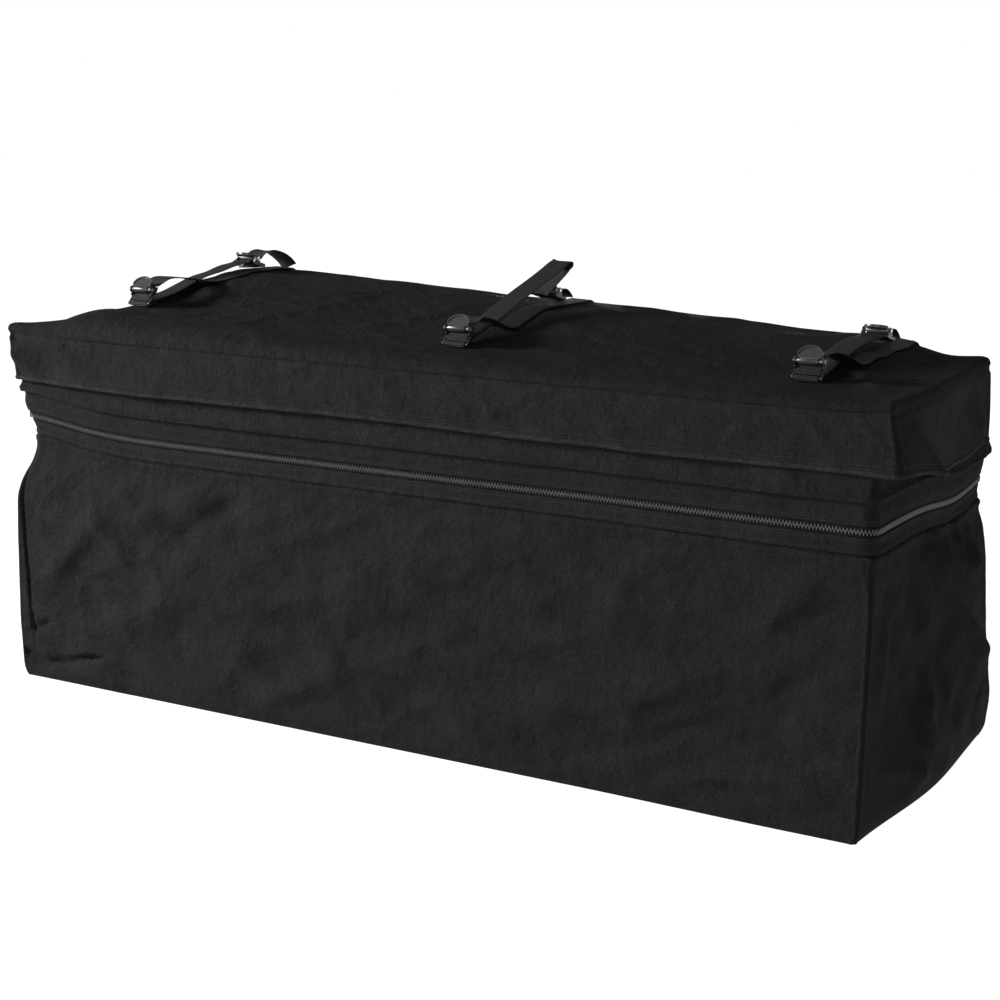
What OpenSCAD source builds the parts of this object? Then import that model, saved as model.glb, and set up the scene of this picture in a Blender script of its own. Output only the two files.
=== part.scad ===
// Expandable soft cargo bag for a hitch tray: a tub, a raising section and a lid, closed by zippers,
// with webbing straps and cam buckles on the lid. Lengths are in millimetres. X runs along the bag,
// -Y is its front, Z is up, and the origin is on the floor in the middle of the bag's box.

/* [Bag] */
// Length of the bag body along X
body_l = 1490; // [1300:10:1700]
// Depth of the bag body along Y
body_d = 575; // [500:5:650]
// Height of the bag's top edge
body_h = 610; // [600:1:680]
// Thickness of a fabric panel with its coating
cloth_t = 3; // [2:0.5:4]
// Radius of the upright corners
corner_r = 28; // [24:1:40]
// How far the two ends draw in at the expansion zipper
end_pinch = 26; // [10:1:40]
// How far the front and back draw in at the expansion zipper
side_pinch = 10; // [4:1:16]

/* [Zippers] */
// Height of the expansion zipper
exp_zip_z = 435; // [425:1:445]
// Height of the lid's zipper
lid_zip_z = 560; // [555:1:565]
// Width of one half of the zipper chain
coil_w = 3.4; // [3:0.1:4]
// Depth of the zipper chain through the wall
coil_d = 3.2; // [3:0.1:4]
// Gap between the two halves of a chain
coil_gap = 1.2; // [1:0.1:2]
// Thickness of the zipper tape
tape_t = 1.2; // [0.8:0.1:1.2]
// Width of the zipper tape on one side of the chain
tape_w = 12; // [8:1:12]
// Length of a zipper slider
slider_l = 22; // [18:1:30]
// Length of a slider's pull tab
pull_l = 30; // [20:1:30]

/* [Rain flap] */
// Height of the flap's lower edge
flap_z = 513; // [505:1:520]
// How far the flap's outside stands off the bag at its top
flap_top = 15; // [14:1:18]
// How far the flap's outside stands off the bag at its lower edge
flap_low = 12; // [12:0.5:14]
// Height of the folded hem
hem_h = 8; // [6:1:12]

/* [Crown of the lid] */
// Rise of the lid at the rear, at the left end
rear_rise_left = 80; // [40:1:90]
// Rise of the lid at the rear, at the right end
rear_rise_right = 16; // [10:1:60]
// Rise of the lid at the front, at the left end
front_rise = 40; // [20:1:60]
// Width of the rolled shoulder round the lid
shoulder = 85; // [60:5:120]

/* [Straps] */
// Distance between neighbouring strap stations
strap_pitch = 594; // [500:2:620]
// How far the middle station lies right of the lid's middle
center_shift = 25; // [0:5:40]
// Width of the webbing
web_w = 38; // [25:1:38]
// Thickness of the webbing
web_t = 1.6; // [1.2:0.1:1.8]
// Place of the front buckles along Y
front_buckle_y = -150; // [-160:1:-120]
// Place of the rear buckles along Y
rear_buckle_y = 176; // [150:1:190]
// Lean of the front buckles from the level
front_lean = 50; // [45:1:55]
// Lean of the rear buckles from the level
rear_lean = 12; // [8:1:16]

/* [Buckles] */
// Clear width between a buckle's side rails
throat_w = 39.5; // [39.2:0.1:41]
// Thickness of a side rail
rail_t = 2.6; // [2.4:0.1:3.2]
// Length of a buckle from its anchor bar
frame_l = 34; // [33:0.5:36]
// Thickness of the buckle's base plate
plate_t = 2; // [1.6:0.1:2.2]
// Radius of the axle
axle_r = 2; // [1.8:0.1:2.2]

/* [Hidden] */
$fn = 32;

arc_step = 15;                                  // degrees between points round a corner
hair = 0.15;                                    // half of the gap between two moving fabric edges
back_y = body_d / 2 + flap_top / 2;             // outside of the back wall
front_y = back_y - body_d;                      // outside of the front wall
lower_seam_z = exp_zip_z - 30;
upper_seam_z = exp_zip_z + 42;
// Share of the pinch at each height
pinch_share = [[0, 0.25], [50, 0], [300, 0], [lower_seam_z, 0.75], [exp_zip_z, 1],
               [upper_seam_z, 0.55], [lid_zip_z - 35, 0.08], [lid_zip_z - 15, 0], [body_h, 0]];
function pinch(z) = lookup(z, pinch_share);

// A rim is [half length, front, back, corner radius] of a rounded outline at one height.
function body_rim(z, off) = [
    body_l / 2 - pinch(z) * end_pinch + off,
    front_y + pinch(z) * side_pinch - off,
    back_y - pinch(z) * side_pinch + off,
    corner_r + off
];
function flap_stand(z) = lookup(z, [[flap_z, flap_low], [body_h, flap_top]]);
function flap_rim(z, off) = [
    body_l / 2 + flap_stand(z) + off, front_y - flap_stand(z) - off, back_y + off, corner_r + off
];

// Points of corner k (0 is +X +Y, then anticlockwise) of a rim, from angle a0 to a1
function corner(rim, z, k, a0, a1) =
    let (
        sx = (k == 0 || k == 3) ? 1 : -1,
        cx = sx * (rim[0] - rim[3]),
        cy = k < 2 ? rim[2] - rim[3] : rim[1] + rim[3]
    )
    [for (a = [a0 : arc_step : a1]) [cx + rim[3] * cos(a), cy + rim[3] * sin(a), z]];

function run(rim, z, side) =
    side == "front" ? concat(corner(rim, z, 2, 225, 270), corner(rim, z, 3, 270, 315)) :
    side == "right" ? concat(corner(rim, z, 3, 315, 360), corner(rim, z, 0, 0, 45)) :
    side == "back" ? concat(corner(rim, z, 0, 45, 90), corner(rim, z, 1, 90, 135)) :
    side == "left" ? concat(corner(rim, z, 1, 135, 180), corner(rim, z, 2, 180, 225)) :
    side == "front_flat" ? concat(corner(rim, z, 2, 270, 270), corner(rim, z, 3, 270, 270)) :
    side == "right_wrap" ? concat(corner(rim, z, 3, 270, 360), corner(rim, z, 0, 0, 45)) :
    side == "left_wrap" ? concat(corner(rim, z, 1, 135, 180), corner(rim, z, 2, 180, 270)) :
    side == "mouth" ? concat(corner(rim, z, 1, 180, 180), corner(rim, z, 2, 180, 270),
                             corner(rim, z, 3, 270, 360), corner(rim, z, 0, 0, 0)) :
    side == "hem" ? concat(corner(rim, z, 1, 135, 180), corner(rim, z, 2, 180, 270),
                           corner(rim, z, 3, 270, 360), corner(rim, z, 0, 0, 45)) :
    side == "hinge" ? concat(corner(rim, z, 0, 0, 90), corner(rim, z, 1, 90, 180)) :
    concat(corner(rim, z, 0, 0, 90), corner(rim, z, 1, 90, 180),
           corner(rim, z, 2, 180, 270), corner(rim, z, 3, 270, 360));

// Closed solid between two grids of points of the same size, seen from outside as "outer"
module shell(outer, inner, closed = false) {
    rows = len(outer);
    cols = len(outer[0]);
    n = rows * cols;
    last = closed ? cols - 1 : cols - 2;
    function id(i, j) = i * cols + j % cols;
    function quad(a, b, c, d) = [[a, b, c], [a, c, d]];
    sides = [for (i = [0 : rows - 2], j = [0 : last])
        each concat(quad(id(i, j), id(i + 1, j), id(i + 1, j + 1), id(i, j + 1)),
                    quad(n + id(i, j), n + id(i, j + 1), n + id(i + 1, j + 1), n + id(i + 1, j)))];
    rims = [for (j = [0 : last])
        each concat(quad(id(0, j), id(0, j + 1), n + id(0, j + 1), n + id(0, j)),
                    quad(id(rows - 1, j + 1), id(rows - 1, j),
                         n + id(rows - 1, j), n + id(rows - 1, j + 1)))];
    ends = closed ? [] : [for (i = [0 : rows - 2])
        each concat(quad(id(i + 1, 0), id(i, 0), n + id(i, 0), n + id(i + 1, 0)),
                    quad(id(i, cols - 1), id(i + 1, cols - 1),
                         n + id(i + 1, cols - 1), n + id(i, cols - 1)))];
    points = concat([for (row = outer) each row], [for (row = inner) each row]);
    polyhedron(points, concat(sides, rims, ends), convexity = 6);
}

// Fabric wall of the bag on one side, through the given heights, its outside moved out by off
module wall(side, heights, off = 0, t = cloth_t) {
    shell([for (z = heights) run(body_rim(z, off), z, side)],
          [for (z = heights) run(body_rim(z, off - t), z, side)], side == "ring");
}

// The same for the rain flap
module flap(side, heights, off = 0, t = cloth_t) {
    shell([for (z = heights) run(flap_rim(z, off), z, side)],
          [for (z = heights) run(flap_rim(z, off - t), z, side)]);
}

/* Tub */
floor_t = cloth_t;
tub_heights = [floor_t, 50, 160, 300, 350, lower_seam_z];
low_tape_z = exp_zip_z - coil_gap / 2 - coil_w;
low_band_top = low_tape_z - tape_w;

module floor_panel() {
    rim = body_rim(floor_t, 0);
    color([0.10, 0.10, 0.11]) linear_extrude(floor_t)
        polygon([for (p = run(rim, 0, "ring")) [p[0], p[1]]]);
}
module tub_wall(side) { color([0.13, 0.13, 0.14]) wall(side, tub_heights); }
module corner_bindings() {
    in = -cloth_t - 0.3;
    color([0.07, 0.07, 0.07])
        for (k = [0 : 3])
            shell([for (z = [12, 50, 160, 300, 340]) corner(body_rim(z, in), z, k, k * 90 + 30, k * 90 + 60)],
                  [for (z = [12, 50, 160, 300, 340]) corner(body_rim(z, in - 2), z, k, k * 90 + 30, k * 90 + 60)]);
}
module floor_binding() {
    color([0.07, 0.07, 0.07]) wall("ring", [floor_t + 0.2, floor_t + 7], -cloth_t - 0.2, 2);
}
module lower_zip_band() { color([0.12, 0.12, 0.13]) wall("ring", [lower_seam_z, low_band_top]); }
module expansion_tape_lower() { color([0.05, 0.05, 0.05]) wall("ring", [low_band_top, low_tape_z], 0, tape_t); }
module expansion_coil_lower() {
    color([0.09, 0.09, 0.1]) wall("ring", [low_tape_z, low_tape_z + coil_w], 1, coil_d);
}

// Gusset folded down inside the bag: a ring with the section of two leaves joined at their lower edge
leaf_t = 1;
leaf_out = -cloth_t - 0.5;                      // outside of the outer leaf
leaf_in = leaf_out - 4;                         // outside of the inner leaf
fold_z = exp_zip_z - 88;
gusset_low_top = low_band_top + 5;
high_tape_z = exp_zip_z + coil_gap / 2 + coil_w;
gusset_high_top = high_tape_z + 8;
tape_back = -tape_t - 0.1;
gusset_section = [
    [tape_back, gusset_low_top], [tape_back, gusset_low_top - 3.5], [leaf_out, gusset_low_top - 3.5],
    [leaf_out, fold_z], [leaf_in - leaf_t, fold_z], [leaf_in - leaf_t, gusset_high_top],
    [tape_back, gusset_high_top], [tape_back, gusset_high_top - 3], [leaf_in, gusset_high_top - 3],
    [leaf_in, fold_z + 3], [leaf_out - leaf_t, fold_z + 3], [leaf_out - leaf_t, gusset_low_top]
];
module gusset() {
    rings = [for (s = gusset_section) run(body_rim(s[1], s[0]), s[1], "ring")];
    rows = len(rings);
    cols = len(rings[0]);
    function id(i, j) = (i % rows) * cols + j % cols;
    faces = [for (i = [0 : rows - 1], j = [0 : cols - 1])
        each [[id(i, j), id(i, j + 1), id(i + 1, j + 1)], [id(i, j), id(i + 1, j + 1), id(i + 1, j)]]];
    color([0.1, 0.1, 0.11]) polyhedron([for (r = rings) each r], faces, convexity = 6);
}

/* Raising section */
high_band_z = high_tape_z + tape_w;
mouth_tape_low = lid_zip_z - coil_gap / 2 - coil_w;
upper_top = mouth_tape_low - tape_w;
upper_heights = [upper_seam_z, lid_zip_z - 35, upper_top];

module expansion_coil_upper() {
    color([0.09, 0.09, 0.1]) wall("ring", [high_tape_z - coil_w, high_tape_z], 1, coil_d);
}
module expansion_tape_upper() { color([0.05, 0.05, 0.05]) wall("ring", [high_tape_z, high_band_z], 0, tape_t); }
module upper_zip_band() { color([0.12, 0.12, 0.13]) wall("ring", [high_band_z, upper_seam_z]); }
module upper_wall(side) { color([0.13, 0.13, 0.14]) wall(side, upper_heights); }
module rear_hinge_band() { color([0.12, 0.12, 0.13]) wall("hinge", [upper_top, lid_zip_z - hair]); }
module lid_tape_lower() { color([0.05, 0.05, 0.05]) wall("mouth", [upper_top, mouth_tape_low], 0, tape_t); }
module lid_coil_lower() {
    color([0.09, 0.09, 0.1]) wall("mouth", [mouth_tape_low, mouth_tape_low + coil_w], 1, coil_d);
}

/* Zipper sliders: origin on the chain's centre line at the fabric's outside, -Y outwards, Z up */
slider_h = 13;
slider_plate = 1.6;
slider_gap = 0.6;
bail_out = 5;                                   // distance of the bail's bar from the fabric
bail_r = 0.7;
bail_w = 10;
web_post = coil_gap / 2 - 0.3;                  // half height of the post between the coil halves
module slider() {
    out_y = -1 - slider_gap - slider_plate;
    in_y = coil_d - 1 + slider_gap;
    color([0.16, 0.16, 0.17]) {
        difference() {
            translate([0, out_y + slider_plate / 2, 0]) cube([slider_l, slider_plate, slider_h], center = true);
            for (sx = [-1, 1], sz = [-1, 1])
                translate([sx * slider_l / 2, out_y - 1, sz * slider_h / 2])
                    rotate([0, 45, 0]) cube([4, 8, 4], center = true);
        }
        translate([0, in_y + slider_plate / 2, 0]) cube([slider_l - 4, slider_plate, slider_h - 2], center = true);
        translate([-7, out_y + 0.5, -web_post]) cube([14, in_y - out_y, 2 * web_post]);
        for (sx = [-1, 1])
            translate([sx * (bail_w / 2 + 0.7) - 0.7, -bail_out - bail_r, -0.9])
                cube([1.4, bail_out + bail_r + out_y + slider_plate / 2, 1.8]);
        translate([-bail_w / 2 - 0.4, -bail_out, 0]) rotate([0, 90, 0]) cylinder(r = bail_r, h = bail_w + 0.8);
    }
}
module pull() {
    eye_r = 1.5;
    pull_w = 7;
    color([0.14, 0.14, 0.15]) translate([0, -bail_out, 0]) difference() {
        union() {
            translate([-pull_w / 2, 0, 0]) rotate([0, 90, 0]) cylinder(r = eye_r, h = pull_w);
            translate([-pull_w / 2, -0.6, -pull_l + pull_w / 2]) cube([pull_w, 1.2, pull_l - pull_w / 2]);
            translate([0, 0.6, -pull_l + pull_w / 2]) rotate([90, 0, 0]) cylinder(r = pull_w / 2, h = 1.2);
        }
        translate([-pull_w, 0, 0]) rotate([0, 90, 0]) cylinder(r = bail_r + 0.08, h = 2 * pull_w);
        translate([0, 3, -pull_l + pull_w / 2]) rotate([90, 0, 0]) cylinder(r = 1.6, h = 6);
    }
}
lid_slider_x = slider_l / 2 + 2;
exp_slider_x = 640;
module on_lid_zip(sx) { translate([sx * lid_slider_x, front_y, lid_zip_z]) children(); }
module on_rear_zip() { translate([exp_slider_x, back_y - side_pinch, exp_zip_z]) rotate(180) children(); }

/* Lid */
border_low = lid_zip_z + coil_gap / 2 + coil_w + tape_w;
border_top = body_h - cloth_t;
module lid_coil_upper() {
    z0 = lid_zip_z + coil_gap / 2;
    color([0.09, 0.09, 0.1]) wall("mouth", [z0, z0 + coil_w], 1, coil_d);
}
module lid_tape_upper() { color([0.05, 0.05, 0.05]) wall("mouth", [border_low - tape_w, border_low], 0, tape_t); }
module lid_border() { color([0.12, 0.12, 0.13]) wall("mouth", [border_low, border_top]); }
module lid_back_border() { color([0.12, 0.12, 0.13]) wall("hinge", [lid_zip_z + hair, border_top]); }
module hinge_strip() {
    color([0.08, 0.08, 0.08])
        translate([-body_l / 2 + 60, back_y - cloth_t - 1.4, lid_zip_z - 18]) cube([body_l - 120, 1.2, 36]);
}

// Crown of the lid: height of the fabric above the edge at x, y
function smooth(t) = let (c = max(0, min(1, t))) c * c * (3 - 2 * c);
function mix(a, b, t) = a + (b - a) * t;
function edge_fall(d, w) = let (c = max(0, min(1, d / w))) 1 - pow(1 - c, 3);
top_hx = body_l / 2 + flap_top;
top_front = front_y - flap_top;
function crown(x, y) =
    let (
        u = (x + top_hx) / (2 * top_hx),
        v = (y - top_front) / (back_y - top_front),
        front = front_rise * pow(1 - u, 2.6),
        rear = mix(rear_rise_left, rear_rise_right, u) + 26 * u * (1 - u),
        rise = mix(front, rear, smooth((v - 0.2) / 0.5))
    )
    rise * smooth((top_hx - abs(x)) / (2 * shoulder)) * edge_fall(y - top_front, shoulder)
        * edge_fall(back_y - y, shoulder * 0.75);
function top_z(x, y) = body_h + crown(x, y);

function corner_cut(d) = d >= corner_r ? 0 : corner_r - sqrt(corner_r * corner_r - pow(corner_r - d, 2));
edge_steps = [0, 2, 8, 17, corner_r, 45, 65, 90, 125];
row_y = concat([for (d = edge_steps) top_front + d], [for (y = [-110 : 50 : 140]) y],
               [for (i = [len(edge_steps) - 1 : -1 : 0]) back_y - edge_steps[i]]);
col_x = concat([for (d = edge_steps) d - top_hx], [for (x = [-560 : 80 : 560]) x],
               [for (i = [len(edge_steps) - 1 : -1 : 0]) top_hx - edge_steps[i]]);
module top_panel() {
    function spot(x, y, drop) =
        let (
            cut = corner_cut(min(y - top_front, back_y - y)),
            px = x * (top_hx - cut) / top_hx
        )
        [px, y, top_z(px, y) - drop];
    color([0.11, 0.11, 0.12])
        shell([for (y = row_y) [for (x = col_x) spot(x, y, 0)]],
              [for (y = row_y) [for (x = col_x) spot(x, y, cloth_t)]]);
}
flap_heights = [flap_z + hem_h, 560, border_top];
module flap_side(side) { color([0.14, 0.14, 0.15]) flap(side, flap_heights); }
module flap_hem() { color([0.12, 0.12, 0.13]) flap("hem", [flap_z, flap_z + hem_h], 1, cloth_t + 2); }

/* Buckles: a station is [x, y, 1 for front or -1 for rear, lean, height of the anchor bar] */
front_bar_h = 5;
rear_bar_h = 7;
function station_x(k) = k * strap_pitch + (k == 0 ? center_shift : 0);
function front_station(k) = [station_x(k), front_buckle_y, 1, front_lean, front_bar_h];
function rear_station(k) = [station_x(k), rear_buckle_y, -1, rear_lean, rear_bar_h];
stations = concat([for (k = [-1 : 1]) front_station(k)], [for (k = [-1 : 1]) rear_station(k)]);

// Puts a buckle drawn with its length along +Y and its open side up on its station
module at_station(s) {
    translate([s[0], s[1], top_z(s[0], s[1]) + s[4]])
        rotate(s[2] > 0 ? 0 : 180) rotate([s[3], 0, 0]) children();
}
rail_x = throat_w / 2;
half_w = rail_x + rail_t;
slot_end = 11;                                  // start of the base plate
axle_y = 22;
axle_z = 10.8;
cam_r = 5.4;
cam_w = 29;
bore_play = 0.05;

module across(r, w) { translate([-w / 2, 0, 0]) rotate([0, 90, 0]) cylinder(r = r, h = w); }
module buckle_frame() {
    color([0.09, 0.09, 0.1]) difference() {
        union() {
            translate([-half_w, slot_end, 0]) cube([2 * half_w, frame_l - slot_end, plate_t]);
            translate([0, frame_l, plate_t / 2]) across(plate_t / 2, 2 * half_w);
            translate([0, slot_end, plate_t / 2]) across(plate_t / 2, 2 * half_w);
            for (sx = [-1, 1]) translate([sx * (rail_x + rail_t / 2), 0, 0]) {
                translate([0, 0, plate_t / 2]) across(3, rail_t);
                translate([-rail_t / 2, 0, -plate_t / 2]) cube([rail_t, frame_l - 4, 3.5]);
                translate([0, axle_y, axle_z]) across(5, rail_t);
                translate([-rail_t / 2, axle_y - 9, 0]) cube([rail_t, 18, 7]);
                translate([-rail_t / 2, axle_y - 5, 6]) cube([rail_t, 10, axle_z - 6]);
            }
            translate([0, 0, plate_t / 2]) across(1.9, 2 * half_w - 1);
        }
        translate([0, axle_y, axle_z]) across(axle_r + 0.01, 3 * half_w);
        for (i = [0 : 1]) translate([0, 17 + 10 * i, -plate_t]) cylinder(r = 1.6, h = 3 * plate_t);
    }
}
module cam_lever() {
    teeth = 5;
    stem = 7;
    thumb_l = 16;
    thumb_r = throat_w / 2 - 0.6;
    module lip(r) {
        intersection() {
            scale([1, (thumb_l - thumb_r + r) / r]) circle(r = r, $fn = 64);
            translate([-throat_w, 0]) square([2 * throat_w, thumb_l]);
        }
    }
    color([0.12, 0.12, 0.13]) translate([0, axle_y, axle_z]) difference() {
        union() {
            across(cam_r, cam_w);
            translate([0, 0.6, -0.6]) across(cam_r, cam_w);
            for (i = [0 : teeth - 1])
                rotate([18 * i + 4, 0, 0]) translate([-cam_w / 2, -0.5, -cam_r - 0.5]) cube([cam_w, 1, 1.5]);
            translate([0.5 - thumb_r, 2.8, 2.2]) cube([2 * thumb_r - 1, stem - 2.7, 2.6]);
            translate([0, stem, 2.2]) linear_extrude(2.6) lip(thumb_r);
            translate([0, stem, 4.6]) linear_extrude(1.6) difference() {
                lip(thumb_r);
                lip(thumb_r - 2.4);
            }
        }
        across(axle_r + bore_play, throat_w + 4);
    }
}
module axle() {
    color([0.75, 0.76, 0.78]) translate([0, axle_y, axle_z]) {
        across(axle_r, 2 * half_w + 1);
        for (sx = [-1, 1]) translate([sx * (half_w + 0.55), 0, 0]) across(axle_r + 1, 0.9);
    }
}
module springs() {
    wire = 0.5;
    turns = 4;
    start = cam_w / 2 + 0.4;
    color([0.6, 0.61, 0.63]) for (side = [-1, 1])
        translate([side > 0 ? start : -start - turns, axle_y, axle_z]) rotate([0, 90, 0]) rotate_extrude() {
            translate([axle_r + 0.2, 0]) square([wire, turns]);
            for (i = [0 : turns - 1]) translate([axle_r + 0.2 + wire, i + wire]) circle(r = wire, $fn = 16);
        }
}

/* Webbing */
function unit(v) = v / norm(v);
function spline(p, i, t) =
    let (
        n = len(p),
        a = p[max(0, i - 1)],
        b = p[i],
        c = p[min(n - 1, i + 1)],
        d = p[min(n - 1, i + 2)]
    )
    0.5 * (2 * b + (c - a) * t + (2 * a - 5 * b + 4 * c - d) * t * t + (3 * b - a - 3 * c + d) * t * t * t);
function smooth_route(p, parts) = concat(
    [for (i = [0 : len(p) - 2], s = [0 : parts - 1]) spline(p, i, s / parts)], [p[len(p) - 1]]);

// Flat webbing along a route that keeps its width near X
module webbing(route, w = web_w, t = web_t) {
    n = len(route);
    across_dir = [for (i = [0 : n - 1])
        let (f = unit(route[min(n - 1, i + 1)] - route[max(0, i - 1)]))
        unit([1, 0, 0] - f[0] * f)];
    out_dir = [for (i = [0 : n - 1])
        cross(across_dir[i], unit(route[min(n - 1, i + 1)] - route[max(0, i - 1)]))];
    function row(i, side) = [for (k = [-1, 1]) route[i] + k * w / 2 * across_dir[i] + side * t / 2 * out_dir[i]];
    shell([for (i = [0 : n - 1]) row(i, 1)], [for (i = [0 : n - 1]) row(i, -1)]);
}

// A point given in a buckle's own length and height, moved onto station s and sideways by dx
function in_buckle(s, u, n, dx = 0) = [
    s[0] + dx,
    s[1] + s[2] * (u * cos(s[3]) - n * sin(s[3])),
    top_z(s[0], s[1]) + s[4] + u * sin(s[3]) + n * cos(s[3])
];
// A point at height h over the lid's fabric
function over_lid(x, y, h) = [x, y, top_z(x, y) + h];
web_n = plate_t + 0.3 + web_t / 2;              // height of the webbing over a base plate
flat_h = web_t / 2 + 1.3;                       // height of webbing that lies on the lid

front_pass = [[43, -3.5], [39.5, 1.2], [34, 3.4], [29, web_n], [24, web_n], [19, web_n], [15, web_n],
              [10.5, 3], [6.9, 0.8], [7, -2], [10, -4.4]];
rear_pass = [[42, -1], [38, 2.4], [33, 3.2], [29, web_n], [25, web_n], [21, web_n], [18, 3.6], [13.4, 6.4],
             [11.4, 11]];
// Lists of [sideways, y, height over the lid]: over the lid's rear roll, from there to the front
// buckle, on to the rear buckle, and the free tail. Two numbers mean that the webbing lies flat.
seam_run = [[14, 287], [14, 282], [14, 276], [15, 268], [16, 258], [17, 246], [19, 230], [20, 212]];
first_run = [
    [[22, 190], [22, 160], [23, 120], [24, 80], [24, 45], [24, 12, 5], [24, -20, 15],
     [22, -50, 27], [16, -78, 36], [8, -100, 39]],
    [[22, 190], [22, 160], [22, 120], [22, 80], [22, 40], [22, 5], [22, -25, 3],
     [20, -50, 10], [16, -72, 22], [9, -91, 33], [4, -104, 37]],
    [[22, 190], [22, 160], [22, 120], [22, 80], [22, 40], [22, 0, 3], [21, -32, 8],
     [18, -58, 18], [12, -80, 28], [5, -100, 34]]
];
second_run = [
    [[-1, -122, 8], [-3, -95, 7], [-5, -60, 6.5], [-6, -20, 7], [-6, 20, 8], [-4, 60, 9],
     [-2, 95, 11], [0, 122, 13]],
    [[1, -122, 12], [4, -95, 17], [8, -60, 23], [13, -20, 30], [18, 20, 38], [23, 60, 46],
     [27, 100, 57], [30, 136, 71], [30.5, 146, 72.5], [29.5, 149, 69], [26, 145, 61], [18, 137, 48],
     [9, 128, 34], [2, 122, 23], [0, 123, 17]],
    [[-1, -122, 7], [-4, -95, 6], [-7, -60, 6], [-8, -20, 7.5], [-8, 20, 10], [-6, 60, 13],
     [-3, 95, 15], [0, 121, 15]]
];
tail_run = [
    [[1, 172, 22], [4, 180, 29], [9, 190, 33], [17, 201, 32], [27, 212, 26], [36, 221, 17], [42, 228, 6.5]],
    [[0, 171, 19], [1, 177, 22], [2, 186, 22], [4, 196, 15], [5, 203, 7.5]],
    [[0, 171, 19], [1, 177, 22], [2, 186, 22], [4, 196, 15], [5, 203, 7.5]]
];
function lie(p) = len(p) > 2 ? p[2] : flat_h;
module strap(k) {
    x = station_x(k);
    f = front_station(k);
    r = rear_station(k);
    function laid(list) = [for (p = list) over_lid(x + p[0], p[1], lie(p))];
    route = concat(
        laid(concat(seam_run, first_run[k + 1])), [for (q = front_pass) in_buckle(f, q[0], q[1])],
        laid(second_run[k + 1]), [for (q = rear_pass) in_buckle(r, q[0], q[1])],
        laid(tail_run[k + 1])
    );
    color([0.07, 0.07, 0.075]) webbing(smooth_route(route, 2));
}
// Webbing tab round an anchor bar, its two leaves sewn down on the lid under the buckle
module tab(s) {
    bar_z = top_z(s[0], s[1]) + s[4];
    loop_r = 3.1;
    ease = s[2] > 0 ? 0 : web_t + 0.8;          // the rear tabs lie on the strap
    leaf = [24, 15];
    bar = in_buckle(s, 0, plate_t / 2);
    around = [for (a = [-75 : 25 : 150])
        [s[0], bar[1] - s[2] * loop_r * cos(a), bar[2] + loop_r * sin(a)]];
    lower = [for (d = leaf) over_lid(s[0], s[1] + s[2] * d, flat_h + 0.3 + ease)];
    upper = [for (d = [12, 20]) over_lid(s[0], s[1] + s[2] * d, flat_h + 0.8 + ease + web_t)];
    color([0.06, 0.06, 0.065]) webbing(smooth_route(concat(lower, around, upper), 2), web_w - 1);
}
module buckle_tabs() { for (s = stations) tab(s); }
module buckle_axles() { for (s = stations) at_station(s) axle(); }
module cam_springs() { for (s = stations) at_station(s) springs(); }

floor_panel();
tub_wall("front");  // front_wall
tub_wall("right");  // right_wall
tub_wall("back");  // back_wall
tub_wall("left");  // left_wall
corner_bindings();
floor_binding();
lower_zip_band();
expansion_tape_lower();
expansion_coil_lower();
gusset();
on_rear_zip() slider();  // expansion_slider
on_rear_zip() pull();  // expansion_pull
expansion_coil_upper();
expansion_tape_upper();
upper_zip_band();
upper_wall("front");  // upper_front_wall
upper_wall("right");  // upper_right_wall
upper_wall("back");  // upper_back_wall
upper_wall("left");  // upper_left_wall
rear_hinge_band();
lid_tape_lower();
lid_coil_lower();
on_lid_zip(-1) slider();  // left_lid_slider
on_lid_zip(-1) pull();  // left_lid_pull
on_lid_zip(1) slider();  // right_lid_slider
on_lid_zip(1) pull();  // right_lid_pull
lid_coil_upper();
lid_tape_upper();
lid_border();
lid_back_border();
hinge_strip();
top_panel();
flap_side("front_flat");  // front_flap
flap_side("right_wrap");  // right_flap
flap_side("left_wrap");  // left_flap
flap_hem();
buckle_tabs();
strap(-1);  // left_strap
strap(0);  // center_strap
strap(1);  // right_strap
at_station(stations[0]) buckle_frame();  // left_front_buckle
at_station(stations[1]) buckle_frame();  // center_front_buckle
at_station(stations[2]) buckle_frame();  // right_front_buckle
at_station(stations[3]) buckle_frame();  // left_rear_buckle
at_station(stations[4]) buckle_frame();  // center_rear_buckle
at_station(stations[5]) buckle_frame();  // right_rear_buckle
at_station(stations[0]) cam_lever();  // left_front_cam
at_station(stations[1]) cam_lever();  // center_front_cam
at_station(stations[2]) cam_lever();  // right_front_cam
at_station(stations[3]) cam_lever();  // left_rear_cam
at_station(stations[4]) cam_lever();  // center_rear_cam
at_station(stations[5]) cam_lever();  // right_rear_cam
buckle_axles();
cam_springs();
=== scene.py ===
"""Looks of an expandable soft cargo bag for a hitch tray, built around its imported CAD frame.

Lengths are in metres, in the CAD's own frame: X along the bag, -Y its front, Z up.
"""

import math

import bpy
import numpy as np
from mathutils import Matrix, Vector


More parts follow.
